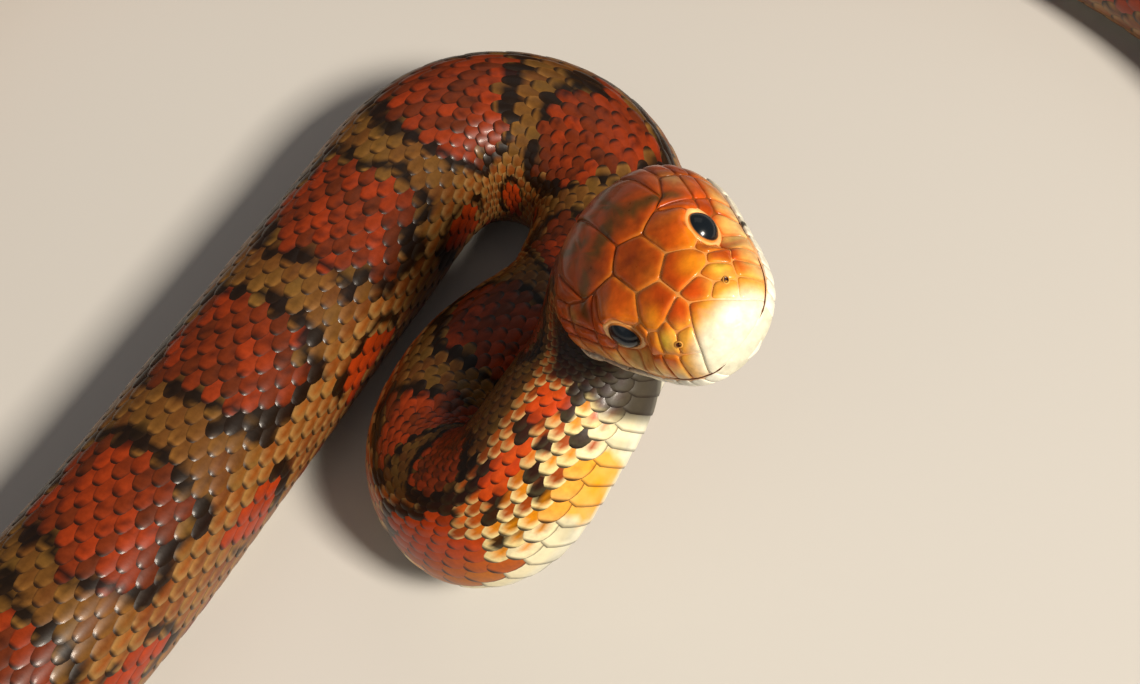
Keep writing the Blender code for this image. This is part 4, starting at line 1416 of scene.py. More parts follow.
@dataclass
class Coat:
    """Rows of overlapping scales from the nape to the tail's tip, and the scutes under them."""

    form: Form
    markings: Markings
    # Where the belly scutes begin, as s and angle.
    belly_edges: tuple = (
        (30.0, 134.0), (42.0, 121.0), (52.0, 118.0), (68.0, 119.0), (84.0, 131.0), (110.0, 136.0),
    )
    # The rings' spacing at s, and how many rows of scales there are from s on.
    pitches: tuple = (
        (26.0, 1.7), (36.0, 1.9), (55.0, 2.1), (75.0, 2.4), (100.0, 2.9), (150.0, 3.4),
        (240.0, 3.7), (600.0, 4.1), (832.0, 3.8), (960.0, 3.0), (1050.0, 2.3), (1173.0, 1.1),
    )
    row_steps: tuple = (
        (0.0, 37), (70.0, 35), (86.0, 33), (780.0, 31), (850.0, 29), (900.0, 25),
        (950.0, 21), (1000.0, 17), (1060.0, 13), (1110.0, 9), (1145.0, 7),
    )
    rows_most: int = 38
    row_shrink: tuple[float, float] = (0.52, 2.2)
    first_rings: tuple[float, float] = (23.7, 25.4)
    last_ring_gap: float = 3.2
    piece_ends: tuple = (0.0, 78.0, 160.0, 290.0, 440.0, 600.0, 780.0, 960.0, 1300.0)
    fine_until: float = 160.0
    fine_cut: ScaleCut = ScaleCut(
        along=(0.0, 0.22, 0.42, 0.6, 0.75, 0.87, 0.95, 0.985, 1.0),
        across=(-1.0, -0.8, -0.4, 0.0, 0.4, 0.8, 1.0),
    )
    # A scale's length in pitches, its width in rows, the share of it before its own place, and how
    # much smaller its underside is.
    overlap: float = 1.62
    spread: float = 1.02
    root_share: float = 0.58
    under_size: float = 0.93
    # A base and a share of the pitch: how far the root lies under the tip, and the thickness.
    tip_rise: tuple[float, float] = (0.10, 0.075)
    wall: tuple[float, float] = (0.05, 0.022)
    # Shares of the pitch: the dome's and the keel's height. The keel's width is a share of half a scale.
    dome: float = 0.05
    keel: float = 0.022
    keel_width: float = 0.16
    belly_ends: tuple = (0.0, 330.0, 960.0, 1300.0)
    belly_start: float = 33.0
    belly_across: int = 21
    belly_overlap: float = 1.5
    belly_thickness: float = 0.16
    belly_rise: tuple[float, float] = (0.14, 0.09)
    belly_bow: float = 0.30
    # How far the rings tip forward where the neck is raised, and where that starts and ends.
    lean_size: float = 2.9
    lean_in: tuple[float, float] = (34.0, 48.0)
    lean_out: tuple[float, float] = (66.0, 92.0)
    # Where the scales start behind the head's plates: angles, and s at each.
    nape: tuple = (
        (0.0, 14.0, 22.0, 30.0, 47.0, 61.0, 74.0, 85.0, 95.0, 136.0),
        (28.6, 27.9, 27.0, 26.1, 25.8, 26.1, 26.3, 27.0, 27.7, 28.2),
    )

    def __post_init__(self) -> None:
        """Works out where each ring of scales lies."""
        self.pitch = eased_through(self.pitches)
        self.belly_edge = eased_through(self.belly_edges)
        rings = list(self.first_rings)
        while rings[-1] < self.form.line.length - self.last_ring_gap:
            rings.append(rings[-1] + float(self.pitch(rings[-1])[0, 0]))
        self.rings = np.array(rings)

    def lean(self, s: Array, angle: Array, way: float = 1.0) -> Array:
        """Where rings at s lie once they tip forward at the belly; with way -1, the ring met at s."""
        size = self.lean_size * ease(s, *self.lean_in) * (1 - ease(s, *self.lean_out))
        return s + way * size * np.cos(np.radians(angle))

    def rows_at(self, s: float) -> int:
        """How many rows of scales go over the back at s."""
        return [rows for start, rows in self.row_steps if start <= s][-1]

    def row_shares(self, rows: int, s: float) -> tuple:
        """Middle and half width of each row at s, as shares of the half girth, from left to right.

        Args:
            rows: how many rows there are.
            s: the distance from the snout.

        Returns:
            The rows' middles and their half widths.
        """
        edge = self.form.share_of(float(self.belly_edge(s)[0, 0]))
        least, fade = self.row_shrink
        gaps = least + (1 - least) * np.exp(-np.arange(rows // 2) / fade)
        gaps = np.r_[gaps, gaps[-1]]
        ends = np.r_[0.0, np.cumsum(gaps[:-1])]
        total = ends[-1] + gaps[-1] / 2
        middle = 1 - (ends[:-1] + gaps[:-1] / 2) / total
        middle = np.r_[middle, 0.0] * edge
        half = gaps / total * edge
        return np.r_[middle, -middle[-2::-1]], np.r_[half, half[-2::-1]]

    def layout(self) -> Array:
        """One row a scale: its s, share, half width, pitch, ring number and row number.

        Returns:
            The table.
        """
        found = []
        for number, s in enumerate(self.rings, start=-1):
            rows = self.rows_at(s)
            middle, half = self.row_shares(rows, s)
            pitch = float(self.pitch(s)[0, 0])
            for row in range(rows):
                place = s + (pitch / 2 if row % 2 else 0.0)
                angle = abs(float(self.form.angle_of(middle[row])))
                if place < np.interp(angle, *self.nape):
                    continue
                found.append((place, middle[row], half[row], pitch, number, row, rows))
        return np.array(found)

    def build(self, material: bpy.types.Material) -> list[bpy.types.Object]:
        """The scales over the back and sides, in pieces along the body.

        Args:
            material: the finish that it wears.

        Returns:
            The pieces, from the nape back.
        """
        layout = self.layout()
        made = []
        for piece, (start, end) in enumerate(zip(self.piece_ends, self.piece_ends[1:])):
            rows = layout[(layout[:, 0] >= start) & (layout[:, 0] < end)]
            cut = self.fine_cut if end <= self.fine_until else ScaleCut()
            made.append(self.shingles(f"scales_{piece + 1}", rows, cut, material))
        return made

    def shingles(
        self, name: str, rows: Array, cut: ScaleCut, material: bpy.types.Material
    ) -> bpy.types.Object:
        """One piece of scales from the layout's rows.

        Args:
            name: the piece's name.
            rows: the layout's rows that it holds.
            cut: the shape of a scale.
            material: the finish that it wears.

        Returns:
            The finished piece.
        """
        u, v = cut.grid()
        faces, rim = cut.faces()
        s0, share0, half0, pitch, number, row = (column[:, None] for column in rows.T[:6])
        luck = np.sin(number * 12.9898 + row * 78.233) * 43758.5453
        luck = 2 * (luck - np.floor(luck)) - 1
        length = pitch * self.overlap * (1 + 0.04 * luck)
        across = v[None] * half0 * self.spread * cut.width(u)[None]
        share = share0 + across
        flat = s0 + (u[None] - self.root_share) * length
        angle = self.form.angle_of(share)
        s = self.lean(flat, angle)
        rise = self.tip_rise[0] + self.tip_rise[1] * pitch
        dome = np.sin(math.pi * np.clip(u[None] * 0.92 + 0.08, 0, 1))
        dome = (1 - v[None] ** 2) * dome * self.dome * pitch
        keel = np.exp(-((v[None] / self.keel_width) ** 2)) * self.keel * pitch
        keel = keel * ease(np.abs(45 - np.abs(angle)), 60, 0)
        roll = 0.35 * ease(u[None], 0.86, 1.0) + 0.30 * ease(np.abs(v[None]), 0.7, 1.0)
        top = -rise * (1 - u[None] ** 1.25) + dome + keel * (u[None] < 0.97)
        top = top - 0.06 * pitch * roll * 0.5 - 0.02
        place = self.form.place(s, angle, top).reshape(*s.shape, 3)
        low = np.array(rim)
        wall = (self.wall[0] + self.wall[1] * pitch) * np.ones_like(top[:, low])
        s_low = self.lean(s0 + (flat[:, low] - s0) * self.under_size, angle[:, low])
        angle_low = self.form.angle_of(share0 + across[:, low] * self.under_size)
        under = self.form.place(s_low, angle_low, top[:, low] - wall).reshape(*s_low.shape, 3)
        points = np.concatenate([place, under], axis=1)
        made = make_object(name, points.reshape(-1, 3), copies(faces, *points.shape[:2]), material)
        own_angle = self.form.angle_of(share0)
        flats = np.broadcast_arrays(flat, angle, s0, own_angle, np.abs(v)[None], u[None], luck)
        edge, rear = flats[4], flats[5]
        colours = self.markings.scale_colours(*(a.ravel() for a in flats)).reshape(*s.shape, 3)
        # Painted shade: each scale darkens to the rim tone at its free edge and sides, for the shade in
        # the gaps between scales.
        free = np.clip(ease(rear, 0.87, 0.96) * 0.95 + ease(edge, 0.78, 0.96) * 0.8, 0, 0.93)
        colours = blend(colours, self.markings.tints.rim[None], free * (rear > 0.35))
        # Painted shade: the scales' walls are darker still.
        walls = blend(colours[:, low], self.markings.tints.rim[None], np.full(s_low.shape, 0.75))
        tint(made, np.concatenate([colours, walls], axis=1).reshape(-1, 3))
        self.map_scales(made, rows, u, v, rim)
        smooth(made, SCALE_CREASE)
        return made

    def map_scales(
        self, made: bpy.types.Object, rows: Array, u: Array, v: Array, rim: list
    ) -> None:
        """The bake map: each scale a small patch at its root's place on the skin laid flat.

        Args:
            made: the piece.
            rows: the layout's rows that it holds.
            u: shares along a scale.
            v: shares across a scale.
            rim: the points on the rim of a scale's top.
        """
        first, last = rows[:, 4].min(), rows[:, 4].max()
        cell_u = 0.98 / (last - first + 2)
        cell_v = 0.98 / self.rows_most
        size_u, size_v = 0.80 * cell_u, 0.86 * cell_v
        start = 0.01 + (rows[:, 4] - first + 0.5 * (rows[:, 5] % 2)) * cell_u
        side = 0.01 + (rows[:, 5] + (self.rows_most - rows[:, 6]) / 2) * cell_v
        top_u = start[:, None] + u[None] * size_u
        top_v = side[:, None] + (v[None] * 0.5 + 0.5) * size_v
        places = np.stack([top_u, top_v], -1)
        unwrap(made, np.concatenate([places, places[:, np.array(rim)]], axis=1).reshape(-1, 2))

    def scutes(self, material: bpy.types.Material) -> list[bpy.types.Object]:
        """The broad plates across the belly; in the last piece, under the tail, they lie in pairs.

        Args:
            material: the finish that it wears.

        Returns:
            The pieces, from the neck back.
        """
        start = self.rings[self.rings > self.belly_start]
        ends = list(zip(self.belly_ends, self.belly_ends[1:]))
        made = []
        for piece, (low, high) in enumerate(ends, start=1):
            rings = start[(start >= low) & (start < high)]
            made.append(self.belly(f"belly_scutes_{piece}", rings, piece == len(ends), material))
        return made

    def belly(
        self, name: str, rings: Array, paired: bool, material: bpy.types.Material
    ) -> bpy.types.Object:
        """One piece of belly scutes on the given rings.

        Args:
            name: the piece's name.
            rings: where the scutes lie.
            paired: whether two lie side by side.
            material: the finish that it wears.

        Returns:
            The finished piece.
        """
        across = tuple(np.linspace(-1, 1, self.belly_across))
        cut = ScaleCut(along=(0.0, 0.3, 0.55, 0.75, 0.88, 0.96, 1.0), across=across)
        faces, rim = cut.faces()
        low = np.array(rim)
        u, v = cut.grid()
        parts = ((-0.5, 0.5), (0.5, 0.5)) if paired else ((0.0, 1.0),)
        wide = 0.48 if paired else 0.98
        cell = 0.98 / (len(rings) + 1)
        points, colours, places = [], [], []
        first = len(self.rings[self.rings < rings[0]]) - 1
        for k, s0 in enumerate(rings):
            pitch = float(self.pitch(s0)[0, 0])
            edge = self.form.share_of(float(self.belly_edge(s0)[0, 0]) - 5.0)
            reach = (1 - edge) * 0.99
            for middle, half in parts:
                out = middle + v * half
                under_share = (middle + v * half * 0.995) * reach
                share = np.where(under_share >= 0, 1 - under_share, -1 - under_share)
                angle = self.form.angle_of(share)
                bow = self.belly_bow * pitch * (1 - np.abs(out) ** 3)
                tip = 1 - 0.45 * ease(np.abs(out), 0.8, 1.0)
                flat = s0 + (u - 0.45) * self.belly_overlap * tip * pitch + bow * 0.5 * u
                s = self.lean(flat, angle)
                rise = self.belly_rise[0] + self.belly_rise[1] * pitch
                top = -rise * (1 - u**1.2) - 0.07 * ease(u, 0.88, 1.0)
                top = top - 0.22 * ease(np.abs(out), 0.86, 1.0)
                points.append(self.form.place(s, angle, top))
                points.append(self.form.place(s[low], angle[low], top[low] - self.belly_thickness))
                tone = self.markings.belly_colours(flat, angle, np.full(s.shape, first + k, float))
                # Painted shade: each scute darkens at its rear edge, and its walls darker still, for the
                # shade between scutes.
                tone = blend(tone, self.markings.tints.rim, ease(u, 0.90, 1.0) * 0.8)
                colours += [tone, blend(tone[low], self.markings.tints.olive, np.full(len(low), 0.6))]
                left = 0.01 + (0.0 if middle <= 0 else 0.5)
                spot = np.stack([0.01 + (k + u * 0.8) * cell, left + (v * 0.5 + 0.5) * wide], -1)
                places += [spot, spot[low]]
        joined = copies(faces, len(rings) * len(parts), len(u) + len(low))
        made = make_object(name, np.concatenate(points), joined, material)
        tint(made, np.concatenate(colours))
        unwrap(made, np.concatenate(places))
        smooth(made, SCALE_CREASE)
        return made


# Corners shared by the head's plates. With y left open a corner is met from the side, with z left
# open from above. A name that starts with ~ is the corner's mirror image, and e-40 is the point 40
# degrees below the front of the eye's rim.
CORNERS = {
    "c0": (8.3, 0.0, None), "c1": (6.65, 0.0, None), "c2": (3.4, 0.0, None),
    "c3": (-5.4, 0.0, None), "c4": (-15.4, 0.0, None), "a0": (9.85, 1.65, None),
    "a1": (8.55, 3.45, None), "a2": (6.8, 3.05, None), "b1": (6.15, 4.55, None),
    "b2": (4.8, 5.35, None), "b3": (3.4, 5.0, None), "b4": (1.5, 2.75, None),
    "d1": (-3.1, 2.75, None), "d2": (-5.1, 5.7, None), "d3": (-6.4, 7.25, None),
    "d4": (-11.2, 7.0, None), "d5": (-14.9, 3.3, None), "r1": (11.25, None, -0.45),
    "r2": (11.95, None, -3.5), "n1": (9.3, None, -0.2), "g1": (4.8, None, -0.6),
    "g3": (7.2, None, -0.08), "t1": (8.9, None, -0.15), "t2": (6.6, None, -0.05),
    "t3": (4.2, None, -0.78), "h1": (-4.6, None, 0.3), "h2": (-4.9, None, 2.25),
    "j1": (-9.2, None, 0.2), "j2": (-9.4, None, 1.9), "q0": (-13.3, None, 0.2),
    "q1": (-13.0, None, 1.9), "q2": (-13.2, None, 3.4), "k5": (-2.1, None, -1.45),
    "k6": (-4.9, None, -1.5), "k7": (-9.2, None, -1.5), "k8": (-13.5, None, -1.5),
}

# Where the lip plates meet along the mouth, which the names m0 to m8 stand for.
UPPER_LIP_X = (10.9, 9.0, 6.6, 4.2, 1.6, -1.4, -4.6, -8.6, -13.2)

# Each plate's corners in order round it.
MIDDLE_PLATES = {
    "rostral": "c0 a0 r1 m0 r2 tip ~r2 ~m0 ~r1 ~a0",
    "frontal": "c2 b4 d1 c3 ~d1 ~b4",
}
SIDE_PLATES = {
    "internasal": "c0 a0 a1 a2 c1",
    "prefrontal": "c1 a2 b1 b2 b3 b4 c2",
    "supraocular": "b4 b3 e35 e60 e90 e118 e145 d2 d1",
    "parietal": "c3 d1 d2 d3 d4 d5 c4",
    "nasal_front": "a1 a0 r1 n1",
    "nasal_rear": "a2 a1 n1 g3 b1",
    "loreal": "b2 b1 g3 g1",
    "preocular": "b3 b2 g1 e-40 e-15 e10 e35",
    "postocular_upper": "d2 e145 e165 e185 h1 h2",
    "postocular_lower": "e185 e203 e220 k5 k6 h1",
    "temporal_1": "d2 h2 h1 j1 j2 d3",
    "temporal_2": "h1 k6 k7 j1",
    "temporal_3": "j1 k7 k8 q0",
    "temporal_4": "j2 j1 q0 q1",
    "temporal_5": "d3 j2 q1 q2 d4",
    "upper_lip_1": "m0 m1 t1 r1",
    "upper_lip_2": "m1 m2 t2 t1",
    "upper_lip_3": "m2 m3 t3 t2",
    "upper_lip_4": "m3 m4 e-80 e-60 e-40 t3",
    "upper_lip_5": "m4 m5 k5 e-140 e-120 e-100 e-80",
    "upper_lip_6": "m5 m6 k6 k5",
    "upper_lip_7": "m6 m7 k7 k6",
    "upper_lip_8": "m7 m8 k8 k7",
}

# The jaw: where its lip plates meet, their depth, and its chin plates' corners seen from below.
LOWER_LIP_X = (11.5, 10.1, 8.3, 6.1, 3.6, 0.5, -3.2, -7.2, -11.2, -14.4)
LOWER_LIP_DEPTH = 2.1
CHIN_PLATES = {
    "mental": ((12.3, 1.7), (12.3, -1.7), (10.9, 0.0)),
    "chin_shield_front": ((10.6, 0.0), (9.4, 2.3), (5.9, 2.8), (6.0, 0.0)),
    "chin_shield_rear": ((6.0, 0.0), (5.7, 2.6), (1.0, 2.4), (0.6, 0.5)),
}


@dataclass
class Plate:
    """One head plate: its corners on the head's surface, in the head's frame."""

    name: str
    corners: Array
    spread: float = 1.0

    def mirrored(self) -> "Plate":
        """The same plate on the other side."""
        return Plate(self.name, Side.RIGHT.turn(self.corners), self.spread)


@dataclass
class HeadDress:
    """The head's plates, eye rims, nostrils and mouth line."""

    form: Form
    markings: Markings
    groove: float = 0.075
    rim_step: float = 0.36
    rise: float = 0.2
    jaw_rise: float = 0.45
    root_depth: float = 0.45
    rings_mm: tuple[float, ...] = (0.0, 0.05, 0.14, 0.3, 0.6, 1.1)
    inner_rings: tuple[float, float] = (0.66, 0.33)
    # How far the inner rings and the middle of a plate stand over its rise.
    inner_dome: tuple[float, float, float] = (0.05, 0.08, 0.09)
    shore: float = 0.8
    eye_rim_radius: float = 2.32
    eye_rim_steps: int = 64
    eye_rim_sides: int = 12
    seam_steps: int = 60
    seam_sides: int = 10
    seam_radius: float = 0.12
    nostril_steps: int = 20
    nostril_rings: int = 7
    nostril_radii: tuple[float, float] = (0.50, 0.06)

    def corner(self, name: str) -> Array:
        """A named corner's place on the head's surface.

        Args:
            name: the corner's name.

        Returns:
            Its place in the head's frame.
        """
        if name.startswith("~"):
            return Side.RIGHT.turn(self.corner(name[1:]))
        if name == "tip":
            return np.array([HEAD_SECTIONS[0][0], 0.0, float(self.form.mouth(12.4)[0, 0])])
        if name[0] == "e":
            return self.rim_point(float(name[1:]))
        if name[0] == "m":
            x = UPPER_LIP_X[int(name[1:])]
            return self.meet(x, None, float(self.form.mouth(x)[0, 0]) + 0.02)
        return self.meet(*CORNERS[name])

    def meet(self, x: float, y: float | None, z: float | None, spread: float = 1.0) -> Array:
        """Where a line from above, or from the left side, meets the head.

        Args:
            x: the line's place along the head.
            y: its place to the left, or None for a line from the side.
            z: its height, or None for a line from above.
            spread: how much wider than the head the surface is.

        Returns:
            The place in the head's frame.
        """
        if z is None:
            return self.form.land(np.array([[x, y, AXIS_HEIGHT]]), np.array([0.0, 0.0, -1.0]), spread)[0]
        return self.form.land(np.array([[x, 0.0, z]]), np.array([0.0, -1.0, 0.0]), spread)[0]

    def rim_point(self, degrees: float) -> Array:
        """A point of the left eye's rim, carried along the eye's axis to the head's surface.

        Args:
            degrees: where on the rim, from its front upward.

        Returns:
            The place in the head's frame.
        """
        middle, axis, ahead, upward = self.form.eye_axes(Side.LEFT)
        turn = math.radians(degrees)
        reach = self.eye_rim_radius + 0.16
        place = middle + reach * (math.cos(turn) * ahead + math.sin(turn) * upward)
        return self.form.land((place - 3.0 * axis)[None], -axis)[0]

    def plates(self) -> dict[Region, list[Plate]]:
        """All plates of the head and all plates of the jaw.

        Returns:
            The plates by region.
        """
        head, jaw = [], []
        for name, pins in (MIDDLE_PLATES | SIDE_PLATES).items():
            plate = Plate(name, np.array([self.corner(pin) for pin in pins.split()]))
            head += [plate] if name in MIDDLE_PLATES else [plate, plate.mirrored()]
        for name, rim in CHIN_PLATES.items():
            inner = np.array([(x, y, AXIS_HEIGHT - 3.0) for x, y in rim])
            landed = self.form.land(inner, np.array([0.0, 0.0, 1.0]), JAW_SPREAD)
            plate = Plate(name, landed, JAW_SPREAD)
            jaw += [plate] if name == "mental" else [plate, plate.mirrored()]
        for front, rear in zip(LOWER_LIP_X, LOWER_LIP_X[1:]):
            rim = [(x, float(self.form.mouth(x)[0, 0]) - 0.02) for x in (front, rear)]
            rim += [(x, float(self.form.mouth(x)[0, 0]) - LOWER_LIP_DEPTH) for x in (rear, front)]
            landed = np.array([self.meet(x, None, z, JAW_SPREAD) for x, z in rim])
            plate = Plate("lower_lip", landed, JAW_SPREAD)
            jaw += [plate, plate.mirrored()]
        return {Region.HEAD: head, Region.JAW: jaw}

    def outline(self, plate: Plate) -> tuple[Array, Array]:
        """The plate's rim as evenly spaced points with rounded corners, and its normals.

        Args:
            plate: the plate.

        Returns:
            The rim's points and normals.
        """
        normals = self.form.head_normals(plate.corners, plate.spread)
        mean = unit(normals.mean(axis=0))
        side = unit(np.cross(mean, np.array([0.3, 0.2, 1.0])))
        other = np.cross(mean, side)
        flat = np.stack([plate.corners @ side, plate.corners @ other], axis=1)
        after = np.roll(flat, -1, axis=0)
        area = (flat[:, 0] * after[:, 1] - after[:, 0] * flat[:, 1]).sum()
        edge = unit(after - flat)
        inward = np.stack([-edge[:, 1], edge[:, 0]], axis=1) * np.sign(area)
        turn = np.roll(inward, 1, axis=0) + inward
        move = self.groove * 2 * turn / (turn**2).sum(axis=1, keepdims=True)
        corners = plate.corners + move[:, :1] * side + move[:, 1:] * other
        rim, ways = [], []
        following = zip(corners, np.roll(corners, -1, axis=0), normals, np.roll(normals, -1, axis=0))
        for one, two, normal_one, normal_two in following:
            pieces = max(2, math.ceil(float(np.linalg.norm(two - one)) / self.rim_step))
            rim += [one + (two - one) * k / pieces for k in range(pieces)]
            ways += [normal_one + (normal_two - normal_one) * k / pieces for k in range(pieces)]
        rim, ways = np.array(rim), np.array(ways)
        for _ in range(2):
            rim = 0.5 * rim + 0.25 * (np.roll(rim, 1, axis=0) + np.roll(rim, -1, axis=0))
        return rim, unit(ways)

    def mesh_plates(
        self, region: Region, plates: list[Plate], material: bpy.types.Material
    ) -> bpy.types.Object:
        """All given plates as closed, domed meshes joined in one object.

        Args:
            region: which set it is.
            plates: the set's plates.
            material: the finish that it wears.

        Returns:
            The finished piece.
        """
        jaw = region is Region.JAW
        points, faces, colours, places = [], [], [], []
        columns = math.ceil(math.sqrt(len(plates)))
        base = 0
        for number, plate in enumerate(plates):
            rim, ways = self.outline(plate)
            middle, mean = rim.mean(axis=0), unit(ways.mean(axis=0))
            reach = np.linalg.norm(rim - middle, axis=1)
            steps = [d for d in self.rings_mm if d < 0.6 * reach.min()]
            shares = [1 - np.full(len(rim), d) / reach for d in steps]
            shares += [(1 - steps[-1] / reach) * k for k in self.inner_rings]
            dome = [self.rise + more for more in self.inner_dome]
            heights = [self.height(d) for d in steps] + dome[:2]
            edges = [1 - d / self.rings_mm[-1] for d in steps] + [0.0, 0.0]
            rows = [middle + (rim - middle) * share[:, None] for share in shares]
            leans = [mean + (ways - mean) * share[:, None] for share in shares]
            inner = np.concatenate([*rows, middle[None]])
            way = -unit(np.concatenate([*leans, mean[None]]))
            height = np.concatenate([*(np.full(len(rim), h) for h in heights), dome[2:]])
            height = height * (self.jaw_rise if jaw else 1.0)
            edge = np.concatenate([*(np.full(len(rim), e) for e in edges), [0.0]])
            landed = self.land_near(inner, way, plate.spread)
            normal = self.form.head_normals(landed, plate.spread)
            shift = self.form.eye_shift(landed)
            top = landed + shift + height[:, None] * normal
            root = (landed + shift - self.root_depth * normal)[: len(rim)]
            root = root + (landed[-1] + shift[-1] - root) * 0.05
            luck = math.sin(number * 7.31) * np.ones(len(top))
            if jaw:
                tones = self.markings.jaw_colours(landed, luck)
            else:
                tones = self.markings.head_colours(landed, edge, luck)
            place = self.form.from_head(np.concatenate([top, root]))
            count, levels = len(rim), len(rows)
            faces += [tuple(base + i for i in face) for face in sleeve(levels, count, False)]
            last = base + (levels - 1) * count
            centre = last + count
            low = centre + 1
            for i in range(count):
                j = (i + 1) % count
                faces.append((last + i, last + j, centre))
                faces.append((base + j, base + i, low + i, low + j))
            faces.append(tuple(low + i for i in range(count))[::-1])
            points.append(place)
            # Painted shade: the plates' walls down to their roots are darker than their tops.
            colours += [tones, tones[: len(rim)] * 0.6]
            spot = (inner - middle) @ np.linalg.svd(inner - middle, full_matrices=False)[2][:2].T
            spot = 0.5 + spot / (2.1 * np.abs(spot).max())
            cell = np.array([number % columns, number // columns])
            spot = (cell + 0.04 + 0.92 * spot) / columns
            places += [spot, spot[: len(rim)]]
            base += len(place)
        made = make_object(region.value, np.concatenate(points), faces, material)
        face_outward(made)
        tint(made, np.concatenate(colours))
        unwrap(made, np.concatenate(places))
        smooth(made, PLATE_CREASE)
        return made

    def land_near(self, points: Array, way: Array, spread: float = 1.0) -> Array:
        """Points near the surface carried on to it along their own inward ways."""
        return self.form.land(points + 2.5 * way, way, spread)

    def height(self, distance: float) -> float:
        """The plate's height above the skin at a distance in from its rim."""
        part = min(1.0, distance / self.shore)
        return -0.08 + (self.rise + 0.12) * math.sqrt(max(0.0, 1 - (1 - part) ** 2))

    def eye_rim(self, side: Side, material: bpy.types.Material) -> bpy.types.Object:
        """The pale fold of skin round one eye, drawn out to a point behind it.

        Args:
            side: the head's side.
            material: the finish that it wears.

        Returns:
            The finished piece.
        """
        middle, axis, ahead, upward = self.form.eye_axes(side)
        count, sides = self.eye_rim_steps, self.eye_rim_sides
        turn = np.linspace(0, 2 * math.pi, count, endpoint=False)
        degrees = np.degrees(turn)
        rear = np.exp(-(((degrees - 172) / 34) ** 2))
        front = np.exp(-(((degrees - 325) / 30) ** 2))
        wide = 0.25 + 0.22 * rear + 0.10 * front
        reach = self.eye_rim_radius - 0.03 + 0.28 * rear + 0.10 * front
        flat = np.cos(turn)[:, None] * ahead + np.sin(turn)[:, None] * upward
        points = []
        for k in range(sides):
            round_it = 2 * math.pi * k / sides
            radius = reach + wide * math.cos(round_it)
            out = -0.30 + 0.24 * math.sin(round_it) * (1 - 0.3 * rear)
            points.append(middle + radius[:, None] * flat + out[:, None] * axis)
        place = self.form.from_head(np.stack(points, axis=1).reshape(-1, 3))
        made = make_object(f"eye_rim_{side.tag}", place, sleeve(count, sides, True), material)
        face_outward(made)
        pale = np.repeat(0.55 + 0.45 * np.maximum(rear, front), sides)
        inner = np.tile(0.5 - 0.5 * np.cos(2 * math.pi * np.arange(sides) / sides), count)
        tints = self.markings.tints
        tint(made, blend(tints.eye_rim, tints.eye_rim_pale, pale * (0.45 + 0.55 * inner)))
        unwrap(made, sleeve_map(count, sides))
        smooth(made, PLATE_CREASE)
        return made

    def mouth_seam(self, side: Side, material: bpy.types.Material) -> bpy.types.Object:
        """The dark line between the lips on one side, a thin round bead that tapers at its ends.

        Args:
            side: the head's side.
            material: the finish that it wears.

        Returns:
            The finished piece.
        """
        count, sides = self.seam_steps, self.seam_sides
        x = np.linspace(12.2, MOUTH_CORNER_X + 0.3, count)
        inner = np.stack([x, np.zeros_like(x), self.form.mouth(x)[:, 0]], axis=1)
        landed = self.form.land(inner, side.turn([0.0, -1.0, 0.0]))
        normals = self.form.head_normals(landed)
        path = landed - 0.02 * normals
        ahead = np.roll(path, -1, axis=0) - np.roll(path, 1, axis=0)
        ahead[0], ahead[-1] = path[1] - path[0], path[-1] - path[-2]
        ahead = unit(ahead)
        across = unit(np.cross(ahead, normals))
        up = np.cross(across, ahead)
        thick = np.full(count, self.seam_radius)
        thick[0] = thick[-1] = self.seam_radius * 0.15
        turn = np.linspace(0, 2 * math.pi, sides, endpoint=False)
        rows = [path + thick[:, None] * (math.cos(a) * across + math.sin(a) * up) for a in turn]
        place = self.form.from_head(np.stack(rows, axis=1).reshape(-1, 3))
        faces = sleeve(count, sides, False)
        faces.append(tuple(range(sides))[::-1])
        faces.append(tuple((count - 1) * sides + k for k in range(sides)))
        made = make_object(f"mouth_line_{side.tag}", place, faces, material)
        face_outward(made)
        tint(made, np.ones((count * sides, 1)) * self.markings.tints.mouth)
        unwrap(made, sleeve_map(count, sides))
        smooth(made, PLATE_CREASE)
        return made

    def nostril(self, side: Side, material: bpy.types.Material) -> bpy.types.Object:
        """The small dark opening of one nostril with its raised edge.

        Args:
            side: the head's side.
            material: the finish that it wears.

        Returns:
            The finished piece.
        """
        middle = side.turn(self.meet(*NOSTRIL_CENTRE)[None])
        axis = self.form.head_normals(middle)[0]
        one = unit(np.cross(axis, np.array([0.0, 0.0, 1.0])))
        two = np.cross(axis, one)
        rings, count = self.nostril_rings, self.nostril_steps
        outer, inner = self.nostril_radii
        turn = np.linspace(0, 2 * math.pi, count, endpoint=False)
        flat = np.outer(np.cos(turn) * 1.25, one) + np.outer(np.sin(turn) * 0.8, two)
        parts = np.linspace(0, 1, rings)
        heights = (self.rise + 0.02) * (1 - ease(parts, 0.25, 1.0)) + 0.08 * np.sin(math.pi * parts)
        radii = outer * (1 - parts) + inner * parts
        points = [middle + r * flat + h * axis for r, h in zip(radii, heights)]
        points.append(middle + outer * flat - 0.4 * axis)
        faces = sleeve(rings, count, False)
        low = rings * count
        faces += [(k, i, low + i, low + k) for i, k in zip(range(count), (*range(1, count), 0))]
        faces.append(tuple(low - count + i for i in range(count)))
        faces.append(tuple(low + i for i in range(count))[::-1])
        place = self.form.from_head(np.concatenate(points))
        made = make_object(f"nostril_{side.tag}", place, faces, material)
        face_outward(made)
        part = np.repeat(np.r_[parts, 0.0], count)
        tints = self.markings.tints
        tint(made, blend(tints.nostril_edge, tints.nostril_hole, ease(part, 0.2, 0.5)))
        spot = np.stack([np.tile(np.cos(turn), rings + 1), np.tile(np.sin(turn), rings + 1)], axis=1)
        size = np.repeat(np.r_[np.linspace(1, 0.1, rings), 1.05], count)
        unwrap(made, 0.5 + 0.45 * spot * size[:, None])
        smooth(made, PLATE_CREASE)
        return made

